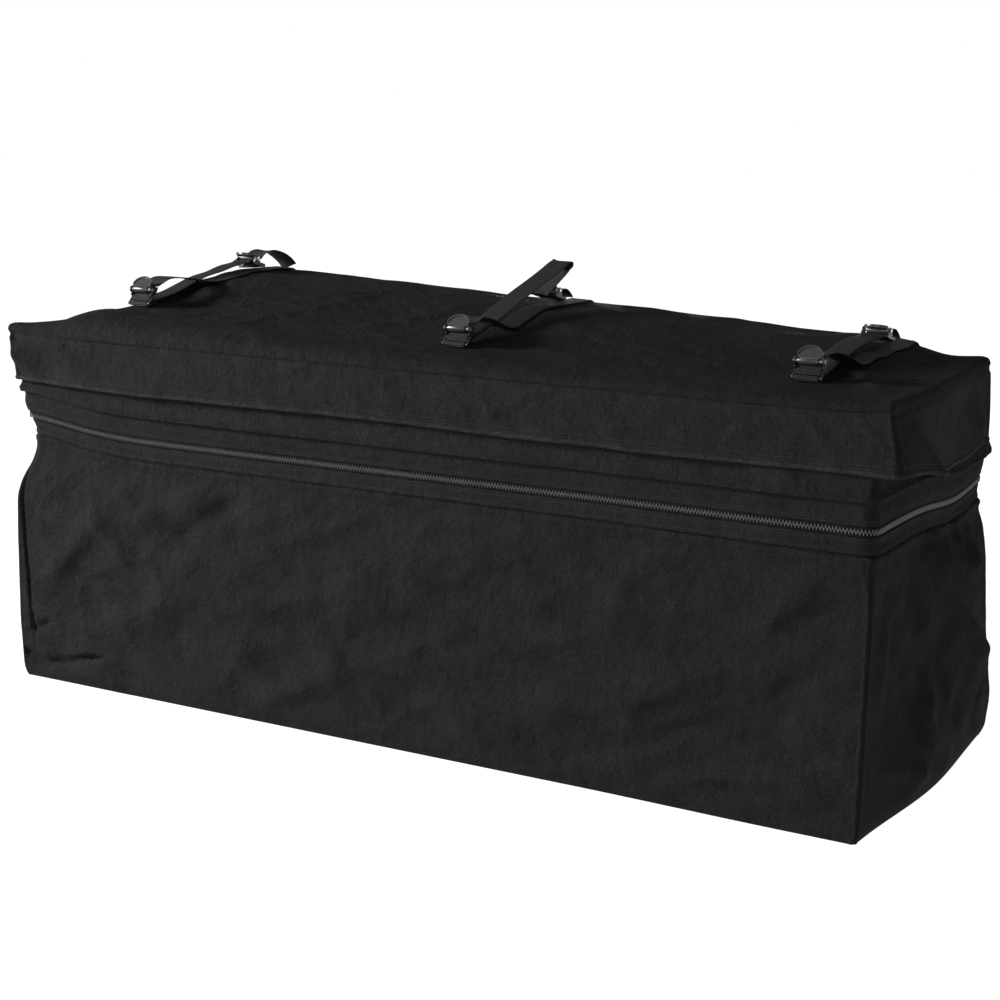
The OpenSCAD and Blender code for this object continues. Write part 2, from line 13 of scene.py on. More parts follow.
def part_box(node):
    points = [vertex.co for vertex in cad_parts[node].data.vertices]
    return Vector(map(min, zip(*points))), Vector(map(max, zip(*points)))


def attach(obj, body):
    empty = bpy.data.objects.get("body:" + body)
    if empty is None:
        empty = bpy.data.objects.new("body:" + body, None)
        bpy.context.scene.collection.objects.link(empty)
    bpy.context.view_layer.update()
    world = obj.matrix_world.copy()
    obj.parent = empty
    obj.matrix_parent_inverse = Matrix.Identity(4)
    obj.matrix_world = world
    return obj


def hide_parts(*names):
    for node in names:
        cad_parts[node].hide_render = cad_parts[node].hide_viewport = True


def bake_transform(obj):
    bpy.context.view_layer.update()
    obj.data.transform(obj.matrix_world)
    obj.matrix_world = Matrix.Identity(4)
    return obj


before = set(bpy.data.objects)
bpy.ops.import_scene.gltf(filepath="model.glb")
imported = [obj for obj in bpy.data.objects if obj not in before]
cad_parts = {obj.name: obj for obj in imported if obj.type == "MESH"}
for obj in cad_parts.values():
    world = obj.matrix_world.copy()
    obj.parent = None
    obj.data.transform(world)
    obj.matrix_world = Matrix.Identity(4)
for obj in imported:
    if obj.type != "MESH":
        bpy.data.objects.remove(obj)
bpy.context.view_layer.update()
MM = 0.001

# --- Places taken from the frame ---

EXP_Z = (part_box("expansion_coil_lower")[1].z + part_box("expansion_coil_upper")[0].z) / 2
LID_Z = (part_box("lid_coil_lower")[1].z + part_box("lid_coil_upper")[0].z) / 2
FLOOR_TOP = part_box("floor_panel")[1].z
LOW_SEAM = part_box("lower_zip_band")[0].z
FOLD_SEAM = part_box("upper_zip_band")[1].z
UPPER_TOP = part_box("lid_tape_lower")[0].z
BORDER_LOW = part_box("lid_border")[0].z
HEM_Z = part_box("flap_hem")[0].z
TOP_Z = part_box("lid_border")[1].z + 3 * MM
HALF_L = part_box("lid_tape_lower")[1].x
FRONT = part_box("lid_tape_lower")[0].y
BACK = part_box("lid_back_border")[1].y
TOP_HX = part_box("top_panel")[1].x
TOP_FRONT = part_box("top_panel")[0].y
GUSSET_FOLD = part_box("gusset")[0].z
GUSSET_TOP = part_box("gusset")[1].z
MID_Y = (FRONT + BACK) / 2
HALF_D = (BACK - FRONT) / 2

CLOTH = 1.3 * MM                      # the shell fabric's thickness
TAPE = 0.8 * MM
FINE = 1.0          # coarser grids while trying things

# --- Numbers ---


def smooth(t):
    t = np.clip(t, 0, 1)
    return t * t * (3 - 2 * t)


def mix(a, b, t):
    return a + (b - a) * t


def bump(x, centre, width, power=2.0):
    return np.exp(-np.abs((x - centre) / width) ** power)


def noise(u, v, seed):
    """Gradient noise, about -1 to 1, one bump to a unit of u and v."""
    angle = np.random.default_rng(seed).random((64, 64)) * 2 * np.pi
    u, v = np.broadcast_arrays(u + 17.3, v + 9.7)
    iu, iv = np.floor(u).astype(int), np.floor(v).astype(int)
    fu, fv = u - iu, v - iv

    def corner(a, b):
        t = angle[(iu + a) % 64, (iv + b) % 64]
        return np.cos(t) * (fu - a) + np.sin(t) * (fv - b)

    su = fu ** 3 * (fu * (fu * 6 - 15) + 10)
    sv = fv ** 3 * (fv * (fv * 6 - 15) + 10)
    return 1.5 * mix(mix(corner(0, 0), corner(1, 0), su), mix(corner(0, 1), corner(1, 1), su), sv)


def layered(u, v, seed, octaves=3):
    return sum(noise(u * 2 ** k, v * 2 ** k, seed + 7 * k) / 2 ** k for k in range(octaves))


def ridges(u, v, seed, sharp=1.6):
    """Creased noise: 0 in the open and up to 1 along thin ridges."""
    return np.clip(1 - 2.2 * np.abs(noise(u, v, seed)), 0, 1) ** sharp


def creases(u, v, folds):
    """Soft ridges, or furrows where the height is below 0, that fade at both ends. Each fold is
    (u, v) of its start and of its end, width and height, all in mm, and a skew that makes one
    flank steeper than the other."""
    total = 0
    for a, b, c, d, width, height, skew in folds:
        a, b, c, d = a / 1000, b / 1000, c / 1000, d / 1000
        width = width * MM
        long = math.hypot(c - a, d - b)
        along = ((u - a) * (c - a) + (v - b) * (d - b)) / long
        away = ((v - b) * (c - a) - (u - a) * (d - b)) / long
        away = away + 0.3 * width * noise(along / 0.06, 0.0, int(997 * long) % 61)
        fade = smooth(along / (0.3 * long)) * smooth((long - along) / (0.3 * long))
        reach = np.where(away > 0, width * (1 + skew), width * (1 - skew))
        total = total + height * MM * fade * np.exp(-(away / reach) ** 2)
    return total


def graded(length, coarse, fine=None, zone=0.0):
    """Places from 0 to length, finer within zone of both ends."""
    if fine is None or length < 3 * zone:
        return np.linspace(0, length, max(3, int(length / ((fine or coarse) * FINE)) + 1))
    ends = max(3, int(zone / (fine * FINE)))
    middle = max(2, int((length - 2 * zone) / (coarse * FINE)))
    return np.concatenate([np.linspace(0, zone, ends, endpoint=False),
                           np.linspace(zone, length - zone, middle, endpoint=False),
                           np.linspace(length - zone, length, ends + 1)])


# --- Meshes ---


def turned_in(points, faces):
    """Whether a closed mesh has its faces turned inwards, by the sign of its volume."""
    p = points - points.mean(0)
    volume = 0
    for f in faces:
        for k in range(1, f.shape[1] - 1):
            volume += np.einsum("ij,ij->", p[f[:, 0]], np.cross(p[f[:, k]], p[f[:, k + 1]]))
    return volume < 0


def add_mesh(name, points, faces, uvs=None, sharp=50):
    """An object from points and lists of triangles or quads. uvs are in metres, one to a point."""
    mesh = bpy.data.meshes.new(name)
    points = np.asarray(points, np.float64)
    if turned_in(points, faces):
        faces = [f[:, ::-1] for f in faces]
    mesh.vertices.add(len(points))
    mesh.vertices.foreach_set("co", points.astype(np.float32).ravel())
    sizes = np.concatenate([np.full(len(f), f.shape[1]) for f in faces])
    loops = np.concatenate([f.ravel() for f in faces]).astype(np.int32)
    mesh.loops.add(len(loops))
    mesh.loops.foreach_set("vertex_index", loops)
    mesh.polygons.add(len(sizes))
    starts = np.concatenate([[0], np.cumsum(sizes)[:-1]]).astype(np.int32)
    mesh.polygons.foreach_set("loop_start", starts)
    mesh.update(calc_edges=True)
    mesh.polygons.foreach_set("use_smooth", np.ones(len(sizes), bool))
    if uvs is not None:
        layer = mesh.uv_layers.new(name="cloth")
        layer.data.foreach_set("uv", np.asarray(uvs, np.float32)[loops].ravel())
    if sharp:
        mesh.set_sharp_from_angle(angle=math.radians(sharp))
    obj = bpy.data.objects.new(name, mesh)
    bpy.context.scene.collection.objects.link(obj)
    return obj


def quads(rows, cols, closed=False):
    i, j = np.meshgrid(np.arange(rows - 1), np.arange(cols if closed else cols - 1), indexing="ij")
    k = (j + 1) % cols
    low, high = i * cols, (i + 1) * cols
    return np.stack([low + j, low + k, high + k, high + j], -1).reshape(-1, 4)


def grid_normals(points, closed=False):
    """Outward normals of a grid whose columns run anticlockwise round the bag and whose rows run up."""
    across = np.roll(points, -1, 1) - np.roll(points, 1, 1) if closed else np.gradient(points, axis=1)
    n = np.cross(across, np.gradient(points, axis=0))
    return n / np.maximum(np.linalg.norm(n, axis=2, keepdims=True), 1e-12)


def run_length(line):
    return np.concatenate([[0], np.cumsum(np.linalg.norm(np.diff(line, axis=0), axis=1))])


def cloth(name, points, thickness=CLOTH, closed=False):
    """A closed sheet: its outside is the grid of points, and its inside lies that far behind."""
    rows, cols = points.shape[:2]
    n = rows * cols
    inner = points - grid_normals(points, closed) * thickness
    front = quads(rows, cols, closed)
    j = np.arange(cols if closed else cols - 1)
    k, top = (j + 1) % cols, (rows - 1) * cols
    faces = [front, front[:, ::-1] + n, np.stack([k, j, j + n, k + n], -1),
             np.stack([top + j, top + k, top + k + n, top + j + n], -1)]
    if not closed:
        i = np.arange(rows - 1) * cols
        e = i + cols - 1
        faces += [np.stack([i, i + cols, i + cols + n, i + n], -1),
                  np.stack([e + cols, e, e + n, e + cols + n], -1)]
    uv = np.stack(np.meshgrid(run_length(points[rows // 2]), run_length(points[:, cols // 2])), -1)
    uv = uv.reshape(-1, 2)
    both = np.concatenate([points.reshape(-1, 3), inner.reshape(-1, 3)])
    return add_mesh(name, both, faces, np.concatenate([uv, uv]))


def swept(centres, side, out, section):
    """Points, faces and UVs of a section of (sideways, outwards) points carried along a line."""
    rows, cols = len(centres), len(section)
    section = np.asarray(section, float)
    pts = centres[:, None] + section[None, :, 0:1] * side[:, None] + section[None, :, 1:2] * out[:, None]
    last = (rows - 1) * cols
    j = np.arange(1, cols - 1)
    first_cap, last_cap = [0 * j, j + 1, j], [0 * j + last, last + j, last + j + 1]
    caps = np.concatenate([np.stack(first_cap, -1), np.stack(last_cap, -1)])
    uv = np.stack(np.meshgrid(section[:, 0], run_length(centres)), -1)[..., ::-1]
    return pts.reshape(-1, 3), [quads(rows, cols, True), caps], uv.reshape(-1, 2)


def copies(name, template, faces, origin, ex, ey, ez):
    """Copies of a small template, one to each frame, as one mesh."""
    pts = (origin[:, None] + template[None, :, 0:1] * ex[:, None]
           + template[None, :, 1:2] * ey[:, None] + template[None, :, 2:3] * ez[:, None])
    shift = (np.arange(len(origin)) * len(template))[:, None, None]
    faces = [(f[None] + shift).reshape(-1, f.shape[1]) for f in faces]
    return add_mesh(name, pts.reshape(-1, 3), faces, None, 0)


def bead(length, width, depth, sides, rings):
    """A rounded bar along its local Z. rings are (place, girth) with places from -0.5 to 0.5."""
    a = (np.arange(sides) + 0.5) * 2 * np.pi / sides
    w, d = width / 2, depth / 2
    pts = [[w * k * math.cos(t), d * k * math.sin(t), z * length] for z, k in rings for t in a]
    caps = [list(range(sides))[::-1], [len(pts) - sides + i for i in range(sides)]]
    return np.array(pts), [quads(len(rings), sides, True), np.array(caps)]


# --- Outline of the bag ---

# Each side: the direction along it, anticlockwise from above, and the outward direction
SIDES = {"front": ((1, 0), (0, -1)), "right": ((0, 1), (1, 0)),
         "back": ((-1, 0), (0, 1)), "left": ((0, -1), (-1, 0))}
ORDER = ["front", "right", "back", "left"]
MOUTH = ["left", "front", "right"]
PINCH = {"front": 10 * MM, "right": 12 * MM, "back": 11.2 * MM, "left": 30 * MM}
PINCH_Z = EXP_Z - 21 * MM
CORNER_TUB = 4 * MM
CORNER_ZIP = 22 * MM

# How far the left end stands out from its nominal place, in mm, by height in mm
LEFT_END = ([0, 12, 100, 250, 318, 350, 380, 423, 440, 458, 480, 512, 556, 620],
            [8, 14, 20, 20, 18, 7, -8, -16, -12, -2, 5, 2, 0, 0])
# The same for the right end, at its front corner and at its rear corner
RIGHT_FRONT = ([0, 15, 300, 410, 435, 470, 512, 620], [-4, -1, 2, 1, 0, -1, 0, 0])
RIGHT_REAR = ([0, 15, 71, 168, 300, 350, 386, 430, 468, 490, 512, 556, 600],
              [15, 22, 27, 15, 6, -2, -10, -5, 3, -2, -7, -11, -15])


def standing(profile, z):
    """A profile read at height z, without its sharp bends."""
    return sum(np.interp(z / MM + k, *profile) for k in (-9, -3, 3, 9)) / 4 * MM


def nominal(side):
    return HALF_L if side in ("left", "right") else HALF_D


def beside(side):
    k = ORDER.index(side)
    return ORDER[k - 1], ORDER[(k + 1) % 4]


def body_reach(side, z):
    """How far a side of the bag lies from its middle at height z."""
    if side == "left":
        return nominal(side) + standing(LEFT_END, z) - 3 * MM * np.exp(-np.maximum(z, 0) / (6 * MM))
    pinch = 0 if side == "right" else PINCH[side] * bump(z, PINCH_Z, 50 * MM, 2.5)
    return nominal(side) - pinch - 3 * MM * np.exp(-np.maximum(z, 0) / (6 * MM))


def settled(p, lid=False):
    """Moves points of the bag's ends to where the load and the hang of the cloth carry them."""
    x, y, z = p[..., 0], p[..., 1], p[..., 2]
    right = smooth((x - 0.64) / 0.09)
    if lid:
        high = smooth((z - HEM_Z) / (TOP_Z - HEM_Z))
        back_in = 22 * MM * smooth((y + 0.08) / 0.36) * mix(0.55, 1.0, high)
        front_out = smooth((0.02 - y) / 0.30) * mix(23 * MM, 5 * MM, high)
        p[..., 0] = x + right * (front_out - back_in)
        return p
    rear = smooth((y + 0.26) / 0.52)
    belly = 20 * MM * bump(y, -0.02, 0.20) * np.exp(-(z / 0.16) ** 2)
    p[..., 0] = x + right * (mix(standing(RIGHT_FRONT, z), standing(RIGHT_REAR, z), rear) + belly)
    front_right = smooth((x - 0.30) / 0.35) * smooth((0.0 - y) / 0.2)
    held_out = PINCH["front"] * bump(z, PINCH_Z, 50 * MM, 2.5) + 6 * MM * np.exp(-(z / 0.12) ** 2)
    p[..., 1] = y - held_out * front_right
    return p


def body_radius(z):
    return mix(CORNER_TUB, CORNER_ZIP, bump(z, EXP_Z, 75 * MM, 3))


FLAP_AT_TOP = TOP_HX - HALF_L
FLAP_AT_HEM = 11 * MM


def lid_reach(side, z):
    """The same for the flap, which hangs off the lid's edge and clings more at its hem."""
    if side == "back":
        return nominal(side) + 0 * z
    hem = {"front": FLAP_AT_HEM, "right": FLAP_AT_HEM, "left": 3 * MM}[side]
    return nominal(side) + mix(hem, FLAP_AT_TOP, smooth((z - HEM_Z) / (TOP_Z - HEM_Z)))


def lid_radius(z):
    return mix(9 * MM, 7 * MM, np.clip((z - HEM_Z) / (TOP_Z - HEM_Z), 0, 1))


def outline(side, u, z, off=0.0, reach=body_reach, radius=body_radius):
    """Place and outward direction on one side, for u from 0 to 1 between its two corners."""
    along, out = np.array(SIDES[side][0], float), np.array(SIDES[side][1], float)
    before, after = beside(side)
    r = radius(z) + off
    low, high = reach(before, z) + off - r, reach(after, z) + off - r
    arc = r * np.pi / 4
    t = mix(-(low + arc), high + arc, u)
    straight = np.clip(t, -low, high)
    turn = (t - straight) / r
    xy = (straight + r * np.sin(turn))[..., None] * along
    xy = xy + (reach(side, z) + off - r + r * np.cos(turn))[..., None] * out
    normal = np.cos(turn)[..., None] * out + np.sin(turn)[..., None] * along
    return xy + np.array([0, MID_Y]), normal


def side_length(side):
    return 2 * nominal("front" if side in ("left", "right") else "left") - 10 * MM


def zip_wander(x, y):
    """How far the expansion zipper leaves its level: up at the left front, down at the right end."""
    front_left = 24 * MM * np.exp(-((x + HALF_L) / 0.13) ** 2) * smooth((0.05 - y) / 0.25)
    right_end = -20 * MM * smooth((x - HALF_L + 0.06) / 0.05) * bump(y, 0.14, 0.16)
    return front_left + right_end


def wandered(x, y, z):
    """The height of a point, with the zipper's wander carried into the cloth above and below it."""
    share = smooth((z - 0.27) / (LOW_SEAM - 0.27)) * smooth((UPPER_TOP - z) / (UPPER_TOP - FOLD_SEAM))
    return z + share * zip_wander(x, y)


def plain(side, s, z, long):
    return 0 * s


def on_side(side, s, z, long, shape=plain, off=0.0, reach=body_reach, radius=body_radius):
    """Points of a side's skin: s along it from its left corner, z up, and shape(...) its swell."""
    s, z = np.broadcast_arrays(np.asarray(s, float), np.asarray(z, float))
    level = z
    if reach is body_reach:
        rough = outline(side, s / long, z, off)[0]
        level = wandered(rough[..., 0], rough[..., 1], z)
    xy, normal = outline(side, s / long, level, off, reach, radius)
    xy = xy + normal * shape(side, s, z, long)[..., None]
    p = settled(np.concatenate([xy, level[..., None]], -1), reach is lid_reach)
    return p, np.concatenate([normal, 0 * z[..., None]], -1)


# --- Swell and folds of each cloth ---


def seam_edge(d):
    """Cloth beside a sewn edge: pulled in at the seam, proud where the allowance lies under it."""
    return -1.5 * MM * np.exp(-(d / (1.2 * MM)) ** 2) + 0.8 * MM * bump(d, 5 * MM, 3 * MM)


def puckers(s, d, seed, height=1.4 * MM, depth=28 * MM):
    """Short gathers that run away from a seam: s along the seam and d away from it."""
    wave = noise(s / 0.026, d / 0.09, seed) + 0.6 * noise(s / 0.011, d / 0.05, seed + 1)
    return height * wave * np.exp(-d / depth)


# Folds of the tub's walls, with u from each wall's left corner and v its height
TUB_FOLDS = {
    "front": [(6, 380, 36, 0, 3, -3, 0), (-30, 52, 70, 20, 6, -8, 0.2),
              (30, 20, 200, 62, 6, -8, 0.4), (10, 75, 80, 110, 6, -3, 0),
              (100, 30, 240, 12, 9, 4, 0), (50, 340, 300, 250, 22, -4, 0.2),
              (100, 380, 340, 300, 16, 4, 0.3), (130, 320, 260, 220, 14, 4, 0.2),
              (200, 270, 400, 390, 20, 4, -0.3), (300, 250, 470, 370, 20, -4, 0),
              (50, 160, 190, 300, 24, 4, 0.2), (60, 220, 320, 140, 18, -3.5, 0),
              (160, 100, 420, 220, 28, 4, 0), (440, 300, 600, 380, 18, 3, 0.2),
              (340, 160, 520, 100, 20, 3, 0), (720, 240, 950, 340, 28, 3, 0.2),
              (900, 60, 1280, 200, 26, 4, 0.4), (980, 30, 1400, 160, 18, -3, 0.2),
              (1160, 30, 1450, 90, 12, 3, 0), (480, 30, 700, 120, 20, 3, 0.2),
              (1260, 240, 1420, 360, 18, 3, 0), (1300, 100, 1430, 260, 22, -3, 0),
              (600, 150, 860, 220, 30, -3, 0)],
    "right": [(255, 420, 315, 295, 13, 10, 0), (285, 350, 440, 215, 15, 10, 0),
              (390, 260, 580, 120, 15, 9, 0), (150, 390, 260, 150, 32, -8, 0),
              (250, 220, 250, 50, 26, 6, 0), (400, 400, 440, 290, 13, 6, 0),
              (470, 400, 520, 270, 12, 6, 0), (340, 390, 370, 310, 9, 4, 0),
              (330, 130, 500, 50, 24, -6, 0), (40, 100, 260, 30, 18, 4, 0.2),
              (70, 330, 50, 180, 20, 4, 0)],
    "back": [(100, 330, 360, 180, 16, 4, 0.3), (600, 120, 950, 260, 20, 4, 0),
             (1050, 360, 1300, 200, 14, 4, 0.3), (400, 340, 620, 300, 12, -3, 0),
             (150, 80, 500, 160, 16, 3, 0.2), (1100, 50, 1400, 130, 12, 4, 0.2)],
    "left": [(80, 320, 300, 120, 14, 5, 0.3), (460, 340, 360, 140, 16, 5, 0),
             (200, 360, 240, 260, 10, -4, 0), (300, 60, 500, 140, 12, 4, 0)],
}


def tub_shape(side, s, z, long):
    seed = 11 + 9 * ORDER.index(side)
    edge = np.minimum(s, long - s)
    sewn = smooth(edge / (9 * MM))
    free = smooth(edge / 0.09) * smooth(z / 0.06) * smooth((LOW_SEAM - z) / 0.05)
    d = 6.0 * MM * free * noise(s / 0.30, z / 0.22, seed)
    d += 4.5 * MM * free * noise((s - 0.9 * z) / 0.15, (z + 0.5 * s) / 0.17, seed + 1)
    d += 4.6 * MM * free * ridges((s - 1.2 * z) / 0.21, (z + 0.6 * s) / 0.26, seed + 2)
    d -= 3.6 * MM * free * ridges((s + 1.5 * z) / 0.24, (z - 0.5 * s) / 0.22, seed + 3)
    d += 3.6 * MM * free * noise((s + z) / 0.07, (z - 0.4 * s) / 0.055, seed + 5)
    d += 0.7 * MM * free * layered(s / 0.035, z / 0.035, seed + 4, 2)
    d += sewn * puckers(s, LOW_SEAM - z, seed + 6, 1.5 * MM)
    d += sewn * puckers(z, edge, seed + 8, 1.0 * MM, 18 * MM)
    d += (2.2 if side == "front" else 1.5) * sewn * creases(s, z, TUB_FOLDS[side])
    swell = 1 + 0.5 * sewn * noise(s / 0.05, 0.0, seed + 9)
    d += 3.6 * MM * bump(z, LOW_SEAM - 8 * MM, 8 * MM) * swell
    d -= 4.4 * MM * bump(z, LOW_SEAM - 1 * MM, 2.6 * MM)
    d = np.maximum(d, -8 * MM) + seam_edge(edge)
    return mix(-0.7 * MM, d, smooth((LOW_SEAM + 2 * MM - z) / (3 * MM)))


def band_shape(side, s, z, long):
    """The narrow bands beside the expansion zipper."""
    seed = 61 + 9 * ORDER.index(side)
    sewn = smooth(np.minimum(s, long - s) / 0.02)
    d = 1.1 * MM * noise(s / 0.07, z / 0.03, seed) + 0.4 * MM * noise(s / 0.02, z / 0.02, seed + 5)
    away = smooth(np.abs(z - EXP_Z) / (14 * MM))
    hollow = -3.0 * MM * bump(z, FOLD_SEAM - 7 * MM, 9 * MM)
    lip = 2.4 * MM * bump(z, LOW_SEAM + 1 * MM, 5 * MM)
    tuck = 7.0 * MM * smooth((z - FOLD_SEAM) / (4 * MM))
    return d * sewn * away + hollow + tuck + lip * (1 + 0.5 * noise(s / 0.06, 0.0, seed + 7))


def upper_shape(side, s, z, long):
    """The raising section's walls, which hang over the band at the fold seam."""
    seed = 71 + 9 * ORDER.index(side)
    edge = np.minimum(s, long - s)
    sewn, up = smooth(edge / (9 * MM)), z - FOLD_SEAM
    d = 2.2 * MM * noise(s / 0.16, z / 0.09, seed) * sewn * smooth(up / 0.02)
    d += 1.6 * MM * ridges((s + 2 * z) / 0.13, z / 0.2, seed + 3) * sewn
    d += sewn * puckers(s, np.maximum(up, 0), seed + 2, 1.0 * MM, 18 * MM)
    d += 5.0 * MM * np.exp(-((up - 2 * MM) / (11 * MM)) ** 2) + 0.8 * seam_edge(edge)
    if side == "front":
        pleat = long - 0.10 - 0.4 * up
        d += 2.6 * MM * smooth((pleat - s) / (1.8 * MM)) * smooth((s - pleat + 0.10) / 0.10)
    return d * smooth((UPPER_TOP - z) / (12 * MM))


FLAP_TOP = TOP_Z - 14 * MM            # where the lid's rolled edge turns into the flap

# Folds of the flap, with u from each side's left corner and v its height
FLAP_FOLDS = {
    "front": [(-50, 600, 70, 515, 11, 9, 0), (-30, 618, 115, 525, 10, -6, 0),
              (30, 620, 160, 540, 14, 6, 0.3), (500, 560, 620, 600, 9, 2.5, 0),
              (840, 590, 920, 530, 10, 3.5, 0.3), (880, 530, 990, 590, 9, 3, 0.2),
              (1100, 600, 1220, 540, 12, 3, 0.3), (1240, 530, 1330, 590, 10, 3.5, -0.3),
              (1360, 600, 1410, 530, 8, 3.5, 0.3), (1430, 595, 1470, 540, 6, 3, 0.3),
              (300, 600, 420, 540, 14, 3, 0.3), (660, 600, 760, 540, 12, 2.5, 0.2)],
    "right": [(300, 580, 540, 520, 20, -5, 0), (420, 560, 560, 500, 12, 6, 0.2)],
    "back": [],
    "left": [(300, 590, 460, 530, 12, 5, 0.3), (100, 570, 220, 530, 12, 4, 0)],
}


def hem_height(side, s):
    """Height of the flap's lower edge along a side."""
    long = side_length(side)
    z = HEM_Z + 2.2 * MM * noise(s / 0.19, 0.0, 37)
    if side == "front":
        z = z + 7 * MM * np.exp(-s / 0.10) + 3 * MM * bump(s, 0.55, 0.3)
    if side == "right":
        z = z - 37 * MM * smooth(s / 0.33) + 6 * MM * smooth((s - 0.40) / 0.12)
    if side == "left":
        z = z + 7 * MM * smooth((s - long + 0.15) / 0.15)
    return z


def tent(s, z):
    """The right flap's ridge, which runs down from the lid's corner and stands out most at the hem."""
    down = np.clip((TOP_Z - z) / (120 * MM), 0, 1.1)
    ridge = mix(0.030, 0.155, down)
    rise = np.where(s < ridge, s / ridge, np.exp(-(np.maximum(s - ridge, 0) / 0.055) ** 1.4))
    return 30 * MM * down * rise


def flap_shape(side, s, z, long):
    seed = 101 + 9 * ORDER.index(side)
    edge = np.minimum(s, long - s)
    sewn = smooth(edge / (9 * MM))
    down = smooth((FLAP_TOP - z) / 0.07)
    d = 3.2 * MM * noise(s / 0.21, z / 0.2, seed) + 3.2 * MM * noise(s / 0.09, z / 0.12, seed + 1)
    d += 3.2 * MM * ridges((s + 0.8 * z) / 0.12, z / 0.16, seed + 2)
    d += 0.4 * MM * noise(s / 0.03, z / 0.04, seed + 3)
    d = d * down * sewn + sewn * smooth((TOP_Z - z) / 0.03) * creases(s, z, FLAP_FOLDS[side])
    if side == "right":
        d = d + tent(s, z) * smooth((FLAP_TOP - z) / 0.03)
    if side != "back":
        d = d - 2.8 * MM * bump(z, FLAP_TOP, 4 * MM)
        d = d + 1.0 * seam_edge(edge) * smooth((TOP_Z - 6 * MM - z) / 0.02)
    return np.maximum(d, -5 * MM)


# Crown of the lid, as the CAD has it
SHOULDER = 85 * MM
ROLL = 14 * MM
PLACES = ("left", "center", "right")
STATION_X = [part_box(f"{k}_front_cam")[0].x / 2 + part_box(f"{k}_front_cam")[1].x / 2 for k in PLACES]
FRONT_BUCKLE_Y = -150 * MM
REAR_BUCKLE_Y = 176 * MM


def edge_fall(d, w):
    return 1 - (1 - np.clip(d / w, 0, 1)) ** 3


def crown(x, y):
    u = (x + TOP_HX) / (2 * TOP_HX)
    v = (y - TOP_FRONT) / (BACK - TOP_FRONT)
    front = 40 * MM * np.clip(1 - u, 0, 1) ** 2.6
    rear = mix(80 * MM, 16 * MM, u) + 26 * MM * u * (1 - u)
    rise = mix(front, rear, smooth((v - 0.2) / 0.5))
    ends = smooth((TOP_HX - np.abs(x)) / (2 * SHOULDER)) ** 1.4
    return rise * ends * edge_fall(y - TOP_FRONT, SHOULDER) * edge_fall(BACK - y, SHOULDER * 0.75)


def corner_point(x, y):
    """The lid's four corners stand up a little as points."""
    dx = TOP_HX - np.abs(x)
    dy = np.minimum(y - TOP_FRONT, BACK - y)
    return 7 * MM * np.exp(-(np.maximum(dx, 0) / 0.045) ** 1.5 - (np.maximum(dy, 0) / 0.045) ** 1.5)


# Folds of the lid's top, in x and y
TOP_FOLDS = [(-420, -230, -200, 120, 16, 3.5, 0.3), (-360, 0, -160, 160, 11, 3, 0.2),
             (-500, -200, -340, 60, 13, -3, 0), (-100, -240, 120, -180, 10, 3, 0.2),
             (200, -160, 440, -220, 9, 3.5, 0.3), (280, -100, 500, -180, 9, -2.5, 0),
             (180, 20, 500, -60, 13, 3, 0.2), (100, 160, 460, 80, 15, 3, 0.2),
             (-720, -100, -620, 100, 12, 4, 0.3), (-700, -240, -580, -190, 9, 3, 0),
             (620, -20, 730, -220, 11, 3.5, 0.3), (540, 100, 700, 20, 12, -3, 0),
             (-20, -20, 160, -100, 14, -2.5, 0), (-200, -140, -50, 60, 16, 3, 0)]


def calm(x, y):
    """0 under the buckles, where the cloth is held by its tabs, and 1 away from them."""
    near = 0 * x
    for sx in STATION_X:
        for by, turn in ((FRONT_BUCKLE_Y, 1), (REAR_BUCKLE_Y, -1)):
            q = np.hypot((x - sx) / 0.040, (y - by - turn * 18 * MM) / 0.045)
            near = np.maximum(near, smooth(2 - q))
    return 1 - near


def top_wrinkles(x, y):
    inside = smooth(np.minimum(TOP_HX - np.abs(x), np.minimum(y - TOP_FRONT, BACK - y)) / 0.05)
    d = 3.0 * MM * noise(x / 0.34, y / 0.13, 151)
    d += 2.2 * MM * noise((x + y) / 0.13, (y - 0.3 * x) / 0.07, 153)
    d += 3.0 * MM * ridges((x + 0.4 * y) / 0.30, (y + 0.25 * x) / 0.11, 155)
    d -= 1.4 * MM * ridges((x - 0.7 * y) / 0.26, (y + 0.1 * x) / 0.12, 157)
    d += 0.4 * MM * layered(x / 0.04, y / 0.04, 159, 2) + creases(x, y, TOP_FOLDS)
    return (d - 1.2 * MM) * inside * calm(x, y)


def roll_drop(d):
    inside = np.clip(ROLL - d, 0, ROLL)
    return ROLL - np.sqrt(np.maximum(ROLL ** 2 - inside ** 2, 0))


def lid_height(x, y, d):
    """Height of the lid's cloth at a distance d from its edge."""
    return TOP_Z + crown(x, y) + top_wrinkles(x, y) + corner_point(x, y) - roll_drop(d)


# --- Materials ---


